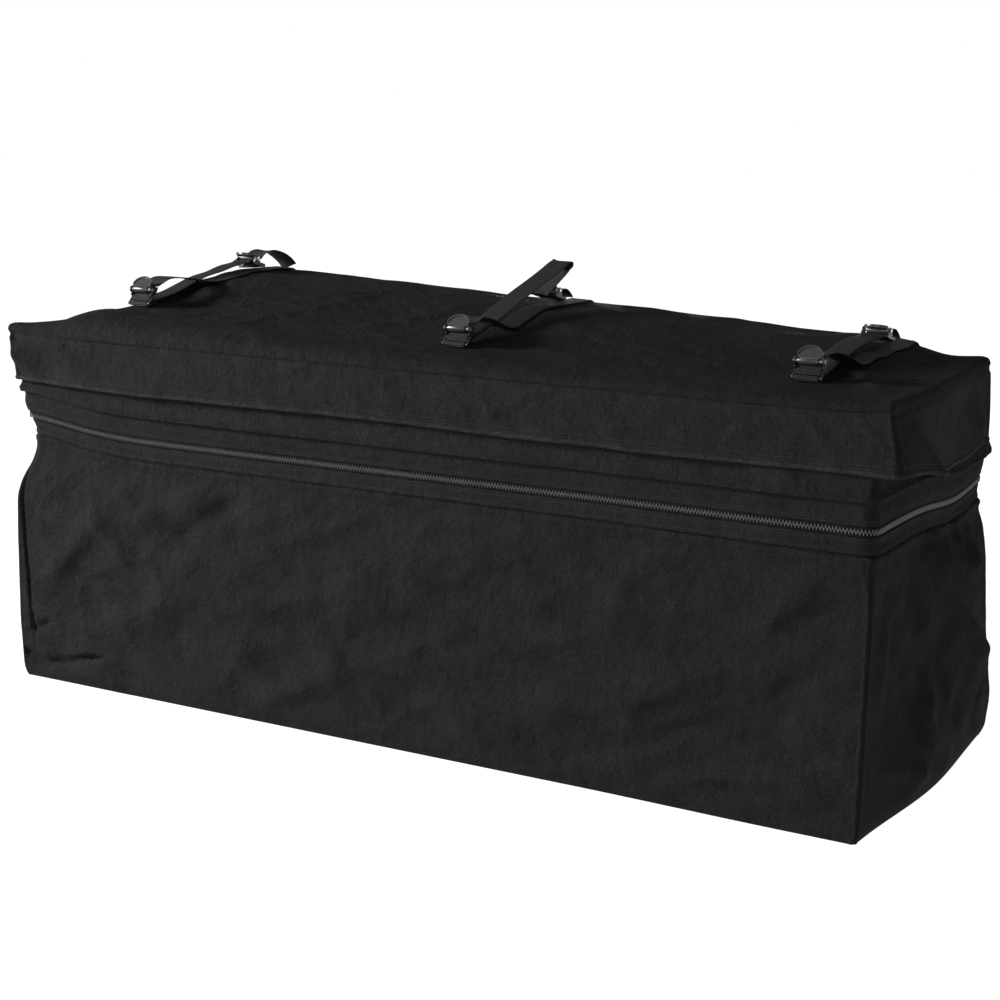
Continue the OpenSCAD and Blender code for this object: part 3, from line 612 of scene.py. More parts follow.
class Nodes:
    """Short names for building one material's nodes."""

    def __init__(self, name):
        self.material = bpy.data.materials.new(name)
        self.material.use_nodes = True
        self.tree = self.material.node_tree
        self.shader = self.tree.nodes["Principled BSDF"]

    def add(self, kind, settings=(), **inputs):
        node = self.tree.nodes.new(kind)
        for key, value in dict(settings).items():
            setattr(node, key, value)
        for key, value in inputs.items():
            self.put(node.inputs[key.replace("_", " ")], value)
        return node

    def put(self, socket, value):
        if isinstance(value, bpy.types.NodeSocket):
            self.tree.links.new(value, socket)
        else:
            socket.default_value = value

    def math(self, kind, a, b):
        node = self.add("ShaderNodeMath", {"operation": kind})
        self.put(node.inputs[0], a)
        self.put(node.inputs[1], b)
        return node.outputs[0]

    def noise(self, where, scale, detail=2.0, rough=0.5):
        node = self.add("ShaderNodeTexNoise", Vector=where, Scale=scale, Detail=detail, Roughness=rough)
        return node.outputs["Fac"]

    def ramp(self, value, low, high, at=(0.3, 0.7)):
        node = self.add("ShaderNodeMapRange", Value=value, From_Min=at[0], From_Max=at[1],
                        To_Min=low, To_Max=high)
        return node.outputs[0]

    def place(self):
        return self.add("ShaderNodeTexCoord").outputs["Object"]

    def finish(self, **inputs):
        for key, value in inputs.items():
            self.put(self.shader.inputs[key.replace("_", " ")], value)
        return self.material


def tinted(n, factor, tint):
    """The tint, made darker or lighter by the factor."""
    colour = n.add("ShaderNodeVectorMath", {"operation": "SCALE"})
    colour.inputs[0].default_value = tint
    n.put(colour.inputs["Scale"], factor)
    return colour.outputs[0]


MOTTLE = 0.24                         # how much the cloth's tone varies


def woven(name, tint, thread, rough=0.82, twill=False):
    """Cloth with a weave of the given thread pitch, drawn along the sheet's own UVs in metres."""
    n = Nodes(name)
    uv = n.add("ShaderNodeUVMap", {"uv_map": "cloth"}).outputs["UV"]
    where = n.place()
    split = n.add("ShaderNodeSeparateXYZ", Vector=uv)
    turn = math.pi / thread
    along, across = (n.math("MULTIPLY", split.outputs[k], turn) for k in (0, 1))
    if twill:
        along = n.math("ADD", along, across)
    warp, weft = n.math("SINE", along, 0.0), n.math("SINE", across, 0.0)
    weave = n.math("MULTIPLY", warp, weft)
    speck = n.noise(uv, 1 / (3.4 * MM), 3.0, 0.7)
    blotch = n.noise(where, 1 / 0.05, 4.0, 0.65)
    shade = n.math("MULTIPLY", n.ramp(speck, 1 - MOTTLE, 1 + MOTTLE, (0.38, 0.62)),
                   n.ramp(blotch, 0.88, 1.12, (0.38, 0.62)))
    shade = n.math("MULTIPLY", shade, n.ramp(weave, 0.86, 1.10, (-1, 1)))
    folds = n.noise(uv, 1 / (26 * MM), 6.0, 0.66)
    crumpled = n.add("ShaderNodeBump", Height=folds, Distance=22 * MM, Strength=0.9)
    fine = n.math("ADD", weave, n.math("MULTIPLY", speck, 2.0))
    relief = n.add("ShaderNodeBump", Height=fine, Distance=0.3 * MM, Strength=0.7,
                   Normal=crumpled.outputs[0])
    return n.finish(Base_Color=tinted(n, shade, tint), Normal=relief.outputs[0],
                    Roughness=n.ramp(speck, rough + 0.06, rough - 0.06), Specular_IOR_Level=0.04)


def ribbed(name, tint, pitch=2.1 * MM):
    """Flat webbing: fine ribs across it, and a slight twill along it."""
    n = Nodes(name)
    uv = n.add("ShaderNodeUVMap", {"uv_map": "cloth"}).outputs["UV"]
    split = n.add("ShaderNodeSeparateXYZ", Vector=uv)
    rib = n.math("SINE", n.math("MULTIPLY", split.outputs[0], 2 * math.pi / pitch), 0.0)
    row = n.math("SINE", n.math("MULTIPLY", split.outputs[1], 2 * math.pi / (3.2 * MM)), 0.0)
    grain = n.math("ADD", rib, n.math("MULTIPLY", row, 0.6))
    speck = n.noise(uv, 1 / (1.6 * MM), 3.0)
    shade = n.math("MULTIPLY", n.ramp(grain, 0.72, 1.25, (-1.4, 1.4)), n.ramp(speck, 0.85, 1.15))
    relief = n.add("ShaderNodeBump", Height=grain, Distance=0.35 * MM, Strength=0.8)
    return n.finish(Base_Color=tinted(n, shade, tint), Roughness=n.ramp(speck, 0.62, 0.5),
                    Normal=relief.outputs[0], Specular_IOR_Level=0.12)


def moulded(name, tint, rough, metallic=0.0, specular=0.5):
    """Moulded plastic or enamelled metal with a fine grain and handling marks."""
    n = Nodes(name)
    where = n.place()
    fine, marks = n.noise(where, 1 / (0.9 * MM), 3.0), n.noise(where, 1 / (11 * MM), 5.0, 0.7)
    shade = n.math("MULTIPLY", n.ramp(marks, 0.82, 1.2), n.ramp(fine, 0.93, 1.07))
    relief = n.add("ShaderNodeBump", Height=fine, Distance=0.02 * MM, Strength=0.5)
    return n.finish(Base_Color=tinted(n, shade, tint), Normal=relief.outputs[0],
                    Roughness=n.ramp(marks, rough + 0.1, rough - 0.06), Metallic=metallic,
                    Specular_IOR_Level=specular)


def twisted(name, tint):
    """Sewing thread."""
    n = Nodes(name)
    where = n.place()
    speck = n.noise(where, 1 / (0.8 * MM), 2.0)
    return n.finish(Base_Color=tinted(n, n.ramp(speck, 0.8, 1.25), tint),
                    Roughness=n.ramp(speck, 0.6, 0.5), Specular_IOR_Level=0.15)


SHELL = woven("shell_fabric", (0.0105, 0.0105, 0.0110), 0.75 * MM)
# The shell cloth with a darker tint: painted shade for the lid's top.
SHADED_TOP_SHELL = woven("lid_fabric_painted_shade", (0.0090, 0.0090, 0.0094), 0.75 * MM)
BASE = woven("base_fabric", (0.0090, 0.0090, 0.0094), 0.9 * MM, rough=0.7)
GUSSET = woven("gusset_fabric", (0.0105, 0.0105, 0.0110), 0.75 * MM)
BINDING = woven("binding_tape", (0.0095, 0.0095, 0.0100), 0.9 * MM, twill=True)
# Tinted lighter than the other binding tape: painted highlight along the hem's bright edge.
HEM_PAINTED_HIGHLIGHT = woven("hem_cloth_painted_highlight", (0.0150, 0.0150, 0.0156), 0.75 * MM, rough=0.7)
ZIP_TAPE = woven("zipper_tape", (0.0075, 0.0075, 0.0078), 0.6 * MM, rough=0.75, twill=True)
WEBBING = ribbed("webbing", (0.0085, 0.0085, 0.0089))
# Tinted far lighter than the black of the other plastics: painted highlight for the coil's glints.
COIL_PAINTED_GLINT = moulded("zipper_coil", (0.065, 0.065, 0.068), 0.34, specular=0.22)
THREAD = twisted("thread", (0.0130, 0.0130, 0.0135))
BUCKLE = moulded("buckle_body", (0.012, 0.012, 0.013), 0.30, specular=0.4)
LEVER = moulded("buckle_lever", (0.020, 0.020, 0.021), 0.30, specular=0.45)
PULL = moulded("pull_tab", (0.018, 0.018, 0.019), 0.5)
SLIDER = moulded("slider_metal", (0.035, 0.035, 0.037), 0.35, metallic=0.4)
AXLE = moulded("axle_steel", (0.62, 0.62, 0.63), 0.24, metallic=1.0)
SPRING = moulded("spring_steel", (0.45, 0.45, 0.46), 0.3, metallic=1.0)


def piece(obj, body, material, slot, *nodes):
    """Gives a new piece its material and body, and hides the CAD nodes that it stands for. slot is not
    used.
    """
    obj.data.materials.append(material)
    if body:
        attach(obj, body)
    if nodes:
        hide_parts(*nodes)
    return obj


# --- Tub, raising section and lid: cloth ---


def panel(name, side, heights, shape):
    long = side_length(side)
    s = graded(long, 4.6 * MM, 1.4 * MM, 24 * MM)
    return cloth(name, on_side(side, s[None, :], heights[:, None], long, shape)[0])


def strip(sides, heights, shape, closed, **way):
    """Grid of points over several sides in turn."""
    parts = []
    for side in sides:
        long = side_length(side)
        s = graded(long, 5 * MM, 3 * MM, 36 * MM)
        s = s if side == sides[-1] and not closed else s[:-1]
        parts.append(on_side(side, s[None, :], heights[:, None], long, shape, **way)[0])
    return np.concatenate(parts, 1)


def band(name, sides, low, high, shape, thickness=CLOTH, step=3 * MM, **way):
    heights = np.linspace(low, high, max(3, int((high - low) / step) + 1))
    closed = len(sides) == 4
    return cloth(name, strip(sides, heights, shape, closed, **way), thickness, closed)


ZIP_GAP = 0.7 * MM                    # from a zipper's middle to the edge of each tape


def zip_tape(name, body, sides, low, high, node):
    strip_of_tape = band(name, sides, low, high, plain, TAPE, off=-CLOTH - 0.3 * MM)
    piece(strip_of_tape, body, ZIP_TAPE, "zipper_tape", node)


STITCH_LIFT = 0.15 * MM               # sewing thread over its cloth
CORNER_SEWN = 5 * MM                  # from a corner seam to the sewing beside it


def seam(sides, height, shape, lift=STITCH_LIFT, trim=0.0, **way):
    """Points and outward directions along a seam. height is a number or a function of side and place."""
    points, outs = [], []
    for side in sides:
        long = side_length(side)
        s = np.linspace(0, long, int(long / (2 * MM)))[:-1]
        s = s[(s > trim) & (s < long - trim)] if trim else s
        z = height(side, s) if callable(height) else height + 0 * s
        p, n = on_side(side, s, z, long, shape, **way)
        points.append(p + n * lift)
        outs.append(n)
    return np.concatenate(points), np.concatenate(outs), len(sides) == 4


def even_steps(points, outs, closed, step):
    """Frames at even distances along a line: origin, direction, outward direction."""
    if closed:
        points, outs = np.vstack([points, points[:1]]), np.vstack([outs, outs[:1]])
    run = run_length(points)
    count = int(run[-1] / step)
    at = (np.arange(count) + 0.5) * run[-1] / count
    p, n, q = (np.stack([np.interp(a, run, line[:, k]) for k in range(3)], 1)
               for a, line in ((at, points), (at, outs), (at + step / 3, points)))
    t = (q - p) / np.maximum(np.linalg.norm(q - p, axis=1, keepdims=True), 1e-9)
    n = n - (n * t).sum(1, keepdims=True) * t
    return p, t, n / np.linalg.norm(n, axis=1, keepdims=True)


STITCH_STEP = 3.8 * MM
STITCH = bead(2.8 * MM, 0.8 * MM, 0.6 * MM, 4, [(-0.5, 0.5), (0, 1), (0.5, 0.5)])


def stitches(name, body, lines):
    """Thread along several lines, as one mesh."""
    frames = [even_steps(*line, STITCH_STEP) for line in lines]
    p, t, n = (np.concatenate([f[k] for f in frames]) for k in range(3))
    obj = copies(name, *STITCH, p, np.cross(t, n), n, t)
    return piece(obj, body, THREAD, "shell_fabric")


COIL_PITCH = 5.0 * MM
COIL_RINGS = [(-0.5, 0.5), (-0.36, 0.95), (0, 1), (0.36, 0.95), (0.5, 0.5)]
COIL_TURN = bead(5.0 * MM, 1.8 * MM, 2.2 * MM, 6, COIL_RINGS)


def coil(name, body, sides, height, upper, node):
    """One half of a coil zipper: a bead for each turn, between those of the other half."""
    p, t, n = even_steps(*seam(sides, height, plain, 0.1 * MM), COIL_PITCH)
    sign = 1 if upper else -1
    p = p + t * COIL_PITCH / 2 * upper
    up = np.cross(n, t)
    up = up * np.sign(up[:, 2:3])
    obj = copies(name, *COIL_TURN, p + up * 1.6 * MM * sign, t, n, up)
    return piece(obj, body, COIL_PAINTED_GLINT, "zipper_coil", node)


def make_tub():
    foot = 1 * MM
    rows = foot + graded(LOW_SEAM + 9 * MM - foot, 4.6 * MM, 1.4 * MM, 24 * MM)
    for side in ORDER:
        wall = panel(f"{side}_panel", side, rows, tub_shape)
        piece(wall, "tub", SHELL, "shell_fabric", f"{side}_wall")
    s = graded(1.0, 0.02)
    front, back = (on_side(side, s * side_length(side), 0.7 * MM, side_length(side))[0]
                   for side in ("front", "back"))
    rows = [mix(front, back[::-1], t) for t in np.linspace(0.004, 0.996, 24)]
    base = cloth("base_panel", np.array(rows) + np.array([0, 0, 2 * MM]), 2.2 * MM)
    piece(base, "tub", BASE, "base_fabric", "floor_panel")
    bound = band("base_binding", ORDER, foot, FLOOR_TOP + 9 * MM, plain, 1.6 * MM, off=-CLOTH - 1 * MM)
    piece(bound, "tub", BINDING, "binding_tape", "floor_binding")
    low_band = band("low_band", ORDER, LOW_SEAM - 0.8 * MM, EXP_Z - 8 * MM, band_shape)
    piece(low_band, "tub", SHELL, "shell_fabric", "lower_zip_band")
    zip_tape("low_tape", "tub", ORDER, EXP_Z - 13 * MM, EXP_Z - ZIP_GAP, "expansion_tape_lower")
    coil("low_coil", "tub", ORDER, EXP_Z, False, "expansion_coil_lower")
    corner = [math.radians(a) for a in (-40, -20, 0, 20, 40)]
    for k, (sx, sy) in enumerate(((1, 1), (-1, 1), (-1, -1), (1, -1))):
        z = np.linspace(12 * MM, 0.33, 40)
        cx, cy = sx * (HALF_L - 16 * MM), MID_Y + sy * (HALF_D - 16 * MM)
        centre = np.stack([cx + 0 * z, cy + 0 * z, z], 1)
        out = math.atan2(sy, sx)
        ring = [8 * MM * np.array([math.cos(out + a), math.sin(out + a), 0]) for a in corner]
        grid = np.stack([centre + place for place in ring], 1)
        bound = cloth(f"corner_binding_{k}", grid, 1.4 * MM)
        piece(bound, "tub", BINDING, "binding_tape", "corner_bindings")
    lines = [seam(ORDER, LOW_SEAM + 4 * MM, band_shape), seam(ORDER, EXP_Z - 10 * MM, band_shape),
             seam(ORDER, EXP_Z - 14 * MM, band_shape)]
    for side in ORDER:
        long = side_length(side)
        z = np.linspace(14 * MM, LOW_SEAM - 4 * MM, 200)
        for s in (CORNER_SEWN, long - CORNER_SEWN):
            p, n = on_side(side, s + 0 * z, z, long, tub_shape)
            lines.append((p + n * STITCH_LIFT, n, False))
    stitches("tub_stitches", "tub", lines)


def make_raising_section():
    high_band = band("high_band", ORDER, EXP_Z + 8 * MM, FOLD_SEAM + 5 * MM, band_shape)
    piece(high_band, "upper", SHELL, "shell_fabric", "upper_zip_band")
    zip_tape("high_tape", "upper", ORDER, EXP_Z + ZIP_GAP, EXP_Z + 13 * MM, "expansion_tape_upper")
    coil("high_coil", "upper", ORDER, EXP_Z, True, "expansion_coil_upper")
    rows = FOLD_SEAM - 1.5 * MM + graded(UPPER_TOP - FOLD_SEAM + 1.5 * MM, 3.5 * MM, 1.2 * MM, 14 * MM)
    for side in ORDER:
        wall = panel(f"raised_{side}_panel", side, rows, upper_shape)
        piece(wall, "upper", SHELL, "shell_fabric", f"upper_{side}_wall")
    hinge = band("hinge_band", ["back"], UPPER_TOP - 1 * MM, LID_Z - 0.5 * MM, plain, off=-0.6 * MM)
    piece(hinge, "upper", SHELL, "shell_fabric", "rear_hinge_band")
    zip_tape("mouth_low_tape", "upper", MOUTH, UPPER_TOP - 4 * MM, LID_Z - ZIP_GAP, "lid_tape_lower")
    coil("mouth_low_coil", "upper", MOUTH, LID_Z, False, "lid_coil_lower")
    stitches("raising_stitches", "upper", [
        seam(ORDER, EXP_Z + 10 * MM, band_shape), seam(ORDER, EXP_Z + 14 * MM, band_shape),
        seam(MOUTH, UPPER_TOP - 3 * MM, upper_shape), seam(["back"], UPPER_TOP - 3 * MM, upper_shape),
        seam(["back"], LID_Z - 4 * MM, plain, off=-0.6 * MM)])


# The gusset hangs folded behind the zipper: an outer leaf from the tub, which stays where it is,
# and an inner leaf that rises with the upper part
LEAF_GAP = 3.0 * MM                   # from the wall's inside to the outer leaf
LEAF_DEPTH = 4.0 * MM                 # from the outer leaf's top to the fold
SLIDER_ROOM = 6.0 * MM                # kept free at the back for the zipper slider's inner wing


def unsmooth(w):
    """The t whose smooth(t) is w."""
    return 0.5 - math.sin(math.asin(1 - 2 * w) / 3)


def gusset_planes():
    """Eight upright planes round the inside of the bag: name, outward direction, distance from the
    middle, and distance from there to the wall that the gusset is sewn to."""
    planes = []
    room = {s: SLIDER_ROOM if s == "back" else 0 for s in ORDER}
    far = {s: nominal(s) - PINCH[s] - CLOTH - LEAF_GAP - room[s] for s in ORDER}
    for k, side in enumerate(ORDER):
        out, nxt = np.array(SIDES[side][1], float), np.array(SIDES[ORDER[(k + 1) % 4]][1], float)
        planes.append((side, out, far[side], LEAF_GAP + room[side]))
        diagonal = (out + nxt) / math.sqrt(2)
        reach = (far[side] + far[ORDER[(k + 1) % 4]]) / math.sqrt(2) - 15 * MM
        both = (room[side] + room[ORDER[(k + 1) % 4]]) / math.sqrt(2)
        planes.append((f"corner_{k}", diagonal, reach, LEAF_GAP + both))
    return planes


def meet(a, b, inset):
    """Where two of the gusset's planes meet, both moved in by inset."""
    m = np.array([a[1], b[1]])
    return np.linalg.solve(m, [a[2] - inset, b[2] - inset]) + np.array([0, MID_Y])


def meet_at_wall(a, b):
    """Where two of the gusset's planes would meet at the wall."""
    m = np.array([a[1], b[1]])
    return np.linalg.solve(m, [a[2] + a[3], b[2] + b[3]]) + np.array([0, MID_Y])


GUSSET_T = 0.7 * MM


def stacked(rows, heights):
    """A grid from rows of places in x and y, each at its height."""
    grid = np.stack([np.concatenate([r, np.full((len(r), 1), z)], 1) for r, z in zip(rows, heights)])
    grid[..., 2] = wandered(grid[..., 0], grid[..., 1], grid[..., 2])
    return grid


def make_gusset():
    planes = gusset_planes()
    top = EXP_Z - 11 * MM
    leaf = top - GUSSET_FOLD
    steps = np.linspace(1, 0, 15)
    insets = np.array([LEAF_DEPTH * unsmooth(w) for w in steps])
    heights = top - leaf * steps
    inner_rings = []
    for k, here in enumerate(planes):
        before, after = planes[k - 1], planes[(k + 1) % 8]
        ends = [(meet(before, here, i), meet(here, after, i)) for i in insets]
        flange = (meet_at_wall(before, here), meet_at_wall(here, after))
        count = 60 if k % 2 == 0 else 6
        t = np.linspace(0, 1, count)[:, None]
        rows = [mix(a, b, t) for a, b in ends + [flange]]
        grid = stacked(rows, np.append(heights, top + 1 * MM))
        obj = cloth(f"gusset_outer_{here[0]}", grid, GUSSET_T)
        piece(obj, None, GUSSET, "gusset_fabric", "gusset")
        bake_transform(obj)
        inside = [(meet(before, here, LEAF_DEPTH + i), meet(here, after, LEAF_DEPTH + i))
                  for i in (0, MM, MM)]
        inner_rings.append([mix(a, b, t[:-1]) for a, b in inside + [flange]])
    low, high = GUSSET_FOLD + 4 * MM, GUSSET_TOP - 3 * MM
    rings = [np.concatenate([ring[i] for ring in inner_rings]) for i in range(4)]
    rings.insert(2, mix(rings[1], rings[2], 0.5))
    levels = [GUSSET_FOLD, low, (low + high) / 2, high, GUSSET_TOP]
    inner = cloth("gusset_inner", stacked(rings, levels), GUSSET_T, True)
    piece(inner, "upper", GUSSET, "gusset_fabric", "gusset")


def edge_spacing():
    """Distances from the lid's edge at even steps of arc round its roll."""
    count = 12
    return ROLL * (1 - np.cos(np.linspace(0, np.pi / 2, count)))


def make_top():
    edge = edge_spacing()
    def places(low, high):
        inside = np.arange(low + edge[-1], high - edge[-1], 5.2 * MM * FINE)[1:]
        return np.concatenate([low + edge, inside, high - edge[::-1]])
    xs, ys = places(-TOP_HX, TOP_HX), places(TOP_FRONT, BACK)
    x, y = np.meshgrid(xs, ys)
    radius = lid_radius(np.array(FLAP_TOP))
    dy = np.minimum(y - TOP_FRONT, BACK - y)
    cut = radius - np.sqrt(np.maximum(radius ** 2 - np.maximum(radius - dy, 0) ** 2, 0))
    x = x * (TOP_HX - cut) / TOP_HX
    dx = TOP_HX - cut - np.abs(x)
    d = (np.maximum(dx, 1e-6) ** -3.0 + np.maximum(dy, 1e-6) ** -3.0) ** (-1 / 3)
    top = cloth("top_sheet", settled(np.stack([x, y, lid_height(x, y, d)], -1), True))
    piece(top, "lid", SHADED_TOP_SHELL, "shell_fabric", "top_panel")


FLAP_WAY = {"reach": lid_reach, "radius": lid_radius}


def flap_grid(side):
    """Rows from the hem to the lid's rolled edge, columns along the side."""
    long = side_length(side)
    s = graded(long, 4.4 * MM, 1.2 * MM, 24 * MM)
    t = np.concatenate([np.linspace(0, 0.25, 12, endpoint=False), np.linspace(0.25, 1, 26)])
    low = hem_height(side, s)
    xy = outline(side, s / long, np.full(len(s), FLAP_TOP), 0.0, lid_reach, lid_radius)[0]
    high = FLAP_TOP + corner_point(xy[:, 0], xy[:, 1])
    z = mix(low[None], high[None], t[:, None])
    return on_side(side, s[None, :], z, long, flap_shape, **FLAP_WAY)[0], s


HEM_T = 4.6 * MM
HEM_H = 7 * MM


def hem_section():
    """Section of the folded hem: sideways is up the flap, outwards is away from it."""
    a = np.linspace(0, 2 * np.pi, 20, endpoint=False)
    bulge = np.abs(np.cos(a)) ** 0.6 * np.sign(np.cos(a))
    return np.stack([bulge * HEM_H / 2, np.sin(a) * HEM_T / 2], 1)


def make_flaps():
    lines = []
    for side in MOUTH:
        long = side_length(side)
        grid, s = flap_grid(side)
        flap = cloth(f"{side}_flap_sheet", grid)
        piece(flap, "lid", SHELL, "shell_fabric", f"{side}_flap")
        rise = grid[3] - grid[0]
        rise /= np.linalg.norm(rise, axis=1, keepdims=True)
        out = grid_normals(grid)[0]
        centre = grid[0] + rise * HEM_H * 0.42 - out * CLOTH / 2
        tangent = np.gradient(centre, axis=0)
        side_dir = np.cross(out, tangent / np.linalg.norm(tangent, axis=1, keepdims=True))
        side_dir *= np.sign(side_dir[:, 2:3])
        obj = add_mesh(f"{side}_hem", *swept(centre, side_dir, out, hem_section()), 60)
        piece(obj, "lid", HEM_PAINTED_HIGHLIGHT, "binding_tape", "flap_hem")
        for up in (HEM_H + 1.5 * MM, HEM_H + 7 * MM):
            height = lambda sd, q, up=up: hem_height(sd, q) + up
            lines.append(seam([side], height, flap_shape, trim=6 * MM, **FLAP_WAY))
        z = np.linspace(HEM_Z + 12 * MM, FLAP_TOP - 2 * MM, 60)
        for q in (CORNER_SEWN, long - CORNER_SEWN):
            p, n = on_side(side, q + 0 * z, z, long, flap_shape, **FLAP_WAY)
            lines.append((p + n * STITCH_LIFT, n, False))
    return lines


def make_lid():
    lines = make_flaps()
    border = band("lid_inner_border", MOUTH, BORDER_LOW - 2 * MM, FLAP_TOP + 5 * MM, plain)
    piece(border, "lid", SHELL, "shell_fabric", "lid_border")
    zip_tape("mouth_high_tape", "lid", MOUTH, LID_Z + ZIP_GAP, BORDER_LOW + 3 * MM, "lid_tape_upper")
    coil("mouth_high_coil", "lid", MOUTH, LID_Z, True, "lid_coil_upper")
    back_way = dict(off=-0.5 * MM, reach=lid_reach, radius=lid_radius)
    rear = band("lid_back_strip", ["back"], LID_Z + 0.5 * MM, FLAP_TOP + 2 * MM, flap_shape, **back_way)
    piece(rear, "lid", SHELL, "shell_fabric", "lid_back_border")
    lines += [seam(["back"], LID_Z + 4 * MM, flap_shape, **back_way),
              seam(["back"], FLAP_TOP - 6 * MM, flap_shape, **back_way),
              seam(MOUTH, BORDER_LOW + 2 * MM, plain)]
    low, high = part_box("hinge_strip")
    x = np.linspace(low.x, high.x, 80)
    z = np.linspace(low.z, high.z, 13)[::-1]
    grid = np.stack([np.stack([x, high.y + 0 * x, k + 0 * x], 1) for k in z])
    hinge = cloth("hinge_tape", settled(grid, True), 0.8 * MM)
    piece(hinge, None, BINDING, "binding_tape", "hinge_strip")
    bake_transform(hinge)
    stitches("lid_stitches", "lid", lines)


# --- Straps, tabs and buckles ---

WEB_W = 38 * MM
WEB_T = 1.6 * MM
FLAT_H = 2.1                          # mm from the lid to the middle of webbing that lies on it
WEB_N = 3.1                           # mm from a buckle's base to the middle of the webbing in it
THREAD_INSET = 3 * MM                 # from a strap's edge to its sewing
BAR_N = 1.0                           # mm from a buckle's base to the middle of its anchor bar

# A row: name, y, 1 for front or -1 for rear, lean in degrees, height of the anchor bar in mm
ROWS = (("front", FRONT_BUCKLE_Y, 1, 50, 5), ("rear", REAR_BUCKLE_Y, -1, 12, 7))
STATIONS = {f"{k}_{row}": (x, *place) for row, *place in ROWS for k, x in zip(PLACES, STATION_X)}

# Lists of (sideways, y, height over the lid) in mm. Two numbers mean that the webbing lies flat.
SEAM_RUN = [(14, 293.6, -8), (14, 291.6, -2.4), (14, 287), (14, 282), (14, 276), (15, 268),
            (16, 258), (17, 246), (19, 230), (20, 212)]
FIRST_RUN = {
    "left": [(22, 190), (22, 160), (23, 120), (24, 80), (24, 45), (24, 12, 5), (24, -20, 15),
             (22, -50, 27), (16, -78, 36), (8, -100, 39)],
    "center": [(22, 190), (22, 160), (22, 120), (22, 80), (22, 40), (22, 5), (22, -25, 3),
               (20, -50, 10), (16, -72, 22), (9, -91, 33), (4, -104, 37)],
    "right": [(22, 190), (22, 160), (22, 120), (22, 80), (22, 40), (22, 0, 3), (21, -32, 8),
              (18, -58, 18), (12, -80, 28), (5, -100, 34)]}
SECOND_RUN = {
    "left": [(-1, -122, 8), (-3, -95, 7), (-5, -60, 6.5), (-6, -20, 7), (-6, 20, 8), (-4, 60, 9),
             (-2, 95, 11), (0, 122, 13)],
    "center": [(1, -122, 12), (4, -95, 17), (8, -60, 23), (13, -20, 30), (18, 20, 38),
               (23, 60, 46), (27, 100, 57), (30, 136, 71), (30.5, 146, 72.5), (29.5, 149, 69),
               (26, 145, 61), (18, 137, 48), (9, 128, 34), (2, 122, 23), (0, 123, 17)],
    "right": [(-1, -122, 7), (-4, -95, 6), (-7, -60, 6), (-8, -20, 7.5), (-8, 20, 10),
              (-6, 60, 13), (-3, 95, 15), (0, 121, 15)]}
TAIL_RUN = {
    "left": [(1, 172, 22), (4, 180, 29), (9, 190, 33), (17, 201, 32), (27, 212, 26), (36, 221, 17),
             (42, 228, 6.5)],
    "center": [(0, 171, 19), (1, 177, 22), (2, 186, 22), (4, 196, 15), (5, 203, 7.5)],
    "right": [(0, 171, 19), (1, 177, 22), (2, 186, 22), (4, 196, 15), (5, 203, 7.5)]}
# The webbing's path in a buckle, as (along, up) in mm from the anchor bar
FRONT_PASS = [(43, -3.5), (39.5, 1.2), (34, 3.4), (29, WEB_N), (24, WEB_N), (19, WEB_N),
              (15, WEB_N), (10.5, 3), (6.9, 0.8), (7, -2), (10, -4.4)]
REAR_PASS = [(42, -1), (38, 2.4), (33, 3.2), (29, WEB_N), (25, WEB_N), (21, WEB_N), (18, 3.6),
             (13.4, 6.4), (11.4, 11)]


def spline(points, parts):
    """A smooth line through the points."""
    p = np.asarray(points, float)
    n = len(p)
    line = []
    for i in range(n - 1):
        a, b, c, d = p[max(0, i - 1)], p[i], p[i + 1], p[min(n - 1, i + 2)]
        for t in np.arange(parts) / parts:
            line.append(0.5 * (2 * b + (c - a) * t + (2 * a - 5 * b + 4 * c - d) * t ** 2
                               + (3 * b - a - 3 * c + d) * t ** 3))
    return np.array(line + [p[-1]])


def over_lid(x, y, h):
    """A point h over the lid's cloth. Webbing high over it doesn't follow the cloth's folds."""
    rest = np.array([x, y, TOP_Z + crown(np.array(x), np.array(y)) + h], float)
    rest[2] += float(top_wrinkles(np.array(x), np.array(y))) * math.exp(-max(h, 0) / (12 * MM))
    return rest


def in_buckle(station, u, n):
    x, y, turn, lean, bar = station
    a = math.radians(lean)
    rise = TOP_Z + float(crown(np.array(x), np.array(y)))
    return np.array([x, y + turn * (u * math.cos(a) - n * math.sin(a)) * MM,
                     rise + (bar + u * math.sin(a) + n * math.cos(a)) * MM])


def laid(x, runs):
    return [over_lid(x + p[0] * MM, p[1] * MM, (p[2] if len(p) > 2 else FLAT_H) * MM) for p in runs]


def webbing(name, route, parts=6, width=WEB_W):
    """Flat webbing that keeps its width near X and leans with the lid where it lies on it."""
    line = spline(route, parts)
    ahead = np.gradient(line, axis=0)
    ahead /= np.linalg.norm(ahead, axis=1, keepdims=True)
    x, y = line[:, 0], line[:, 1]
    over = line[:, 2] - TOP_Z - crown(x, y)
    slope = (crown(x + 10 * MM, y) - crown(x - 10 * MM, y)) / (20 * MM)
    lean = slope * np.exp(-np.maximum(over, 0) / (15 * MM))
    across = np.stack([1 + 0 * lean, 0 * lean, lean], 1)
    across -= (across * ahead).sum(1, keepdims=True) * ahead
    across /= np.linalg.norm(across, axis=1, keepdims=True)
    half = [(1.0, 0.1), (0.985, 0.62), (0.94, 0.95), (0.7, 1.0), (0.35, 1.0), (0, 1.0)]
    top = half + [(-a, b) for a, b in half[-2::-1]]
    ring = top + [(a, -b) for a, b in top[::-1]]
    section = [(a * width / 2, b * WEB_T / 2) for a, b in ring]
    return add_mesh(name, *swept(line, across, np.cross(across, ahead), section), 60), line, across


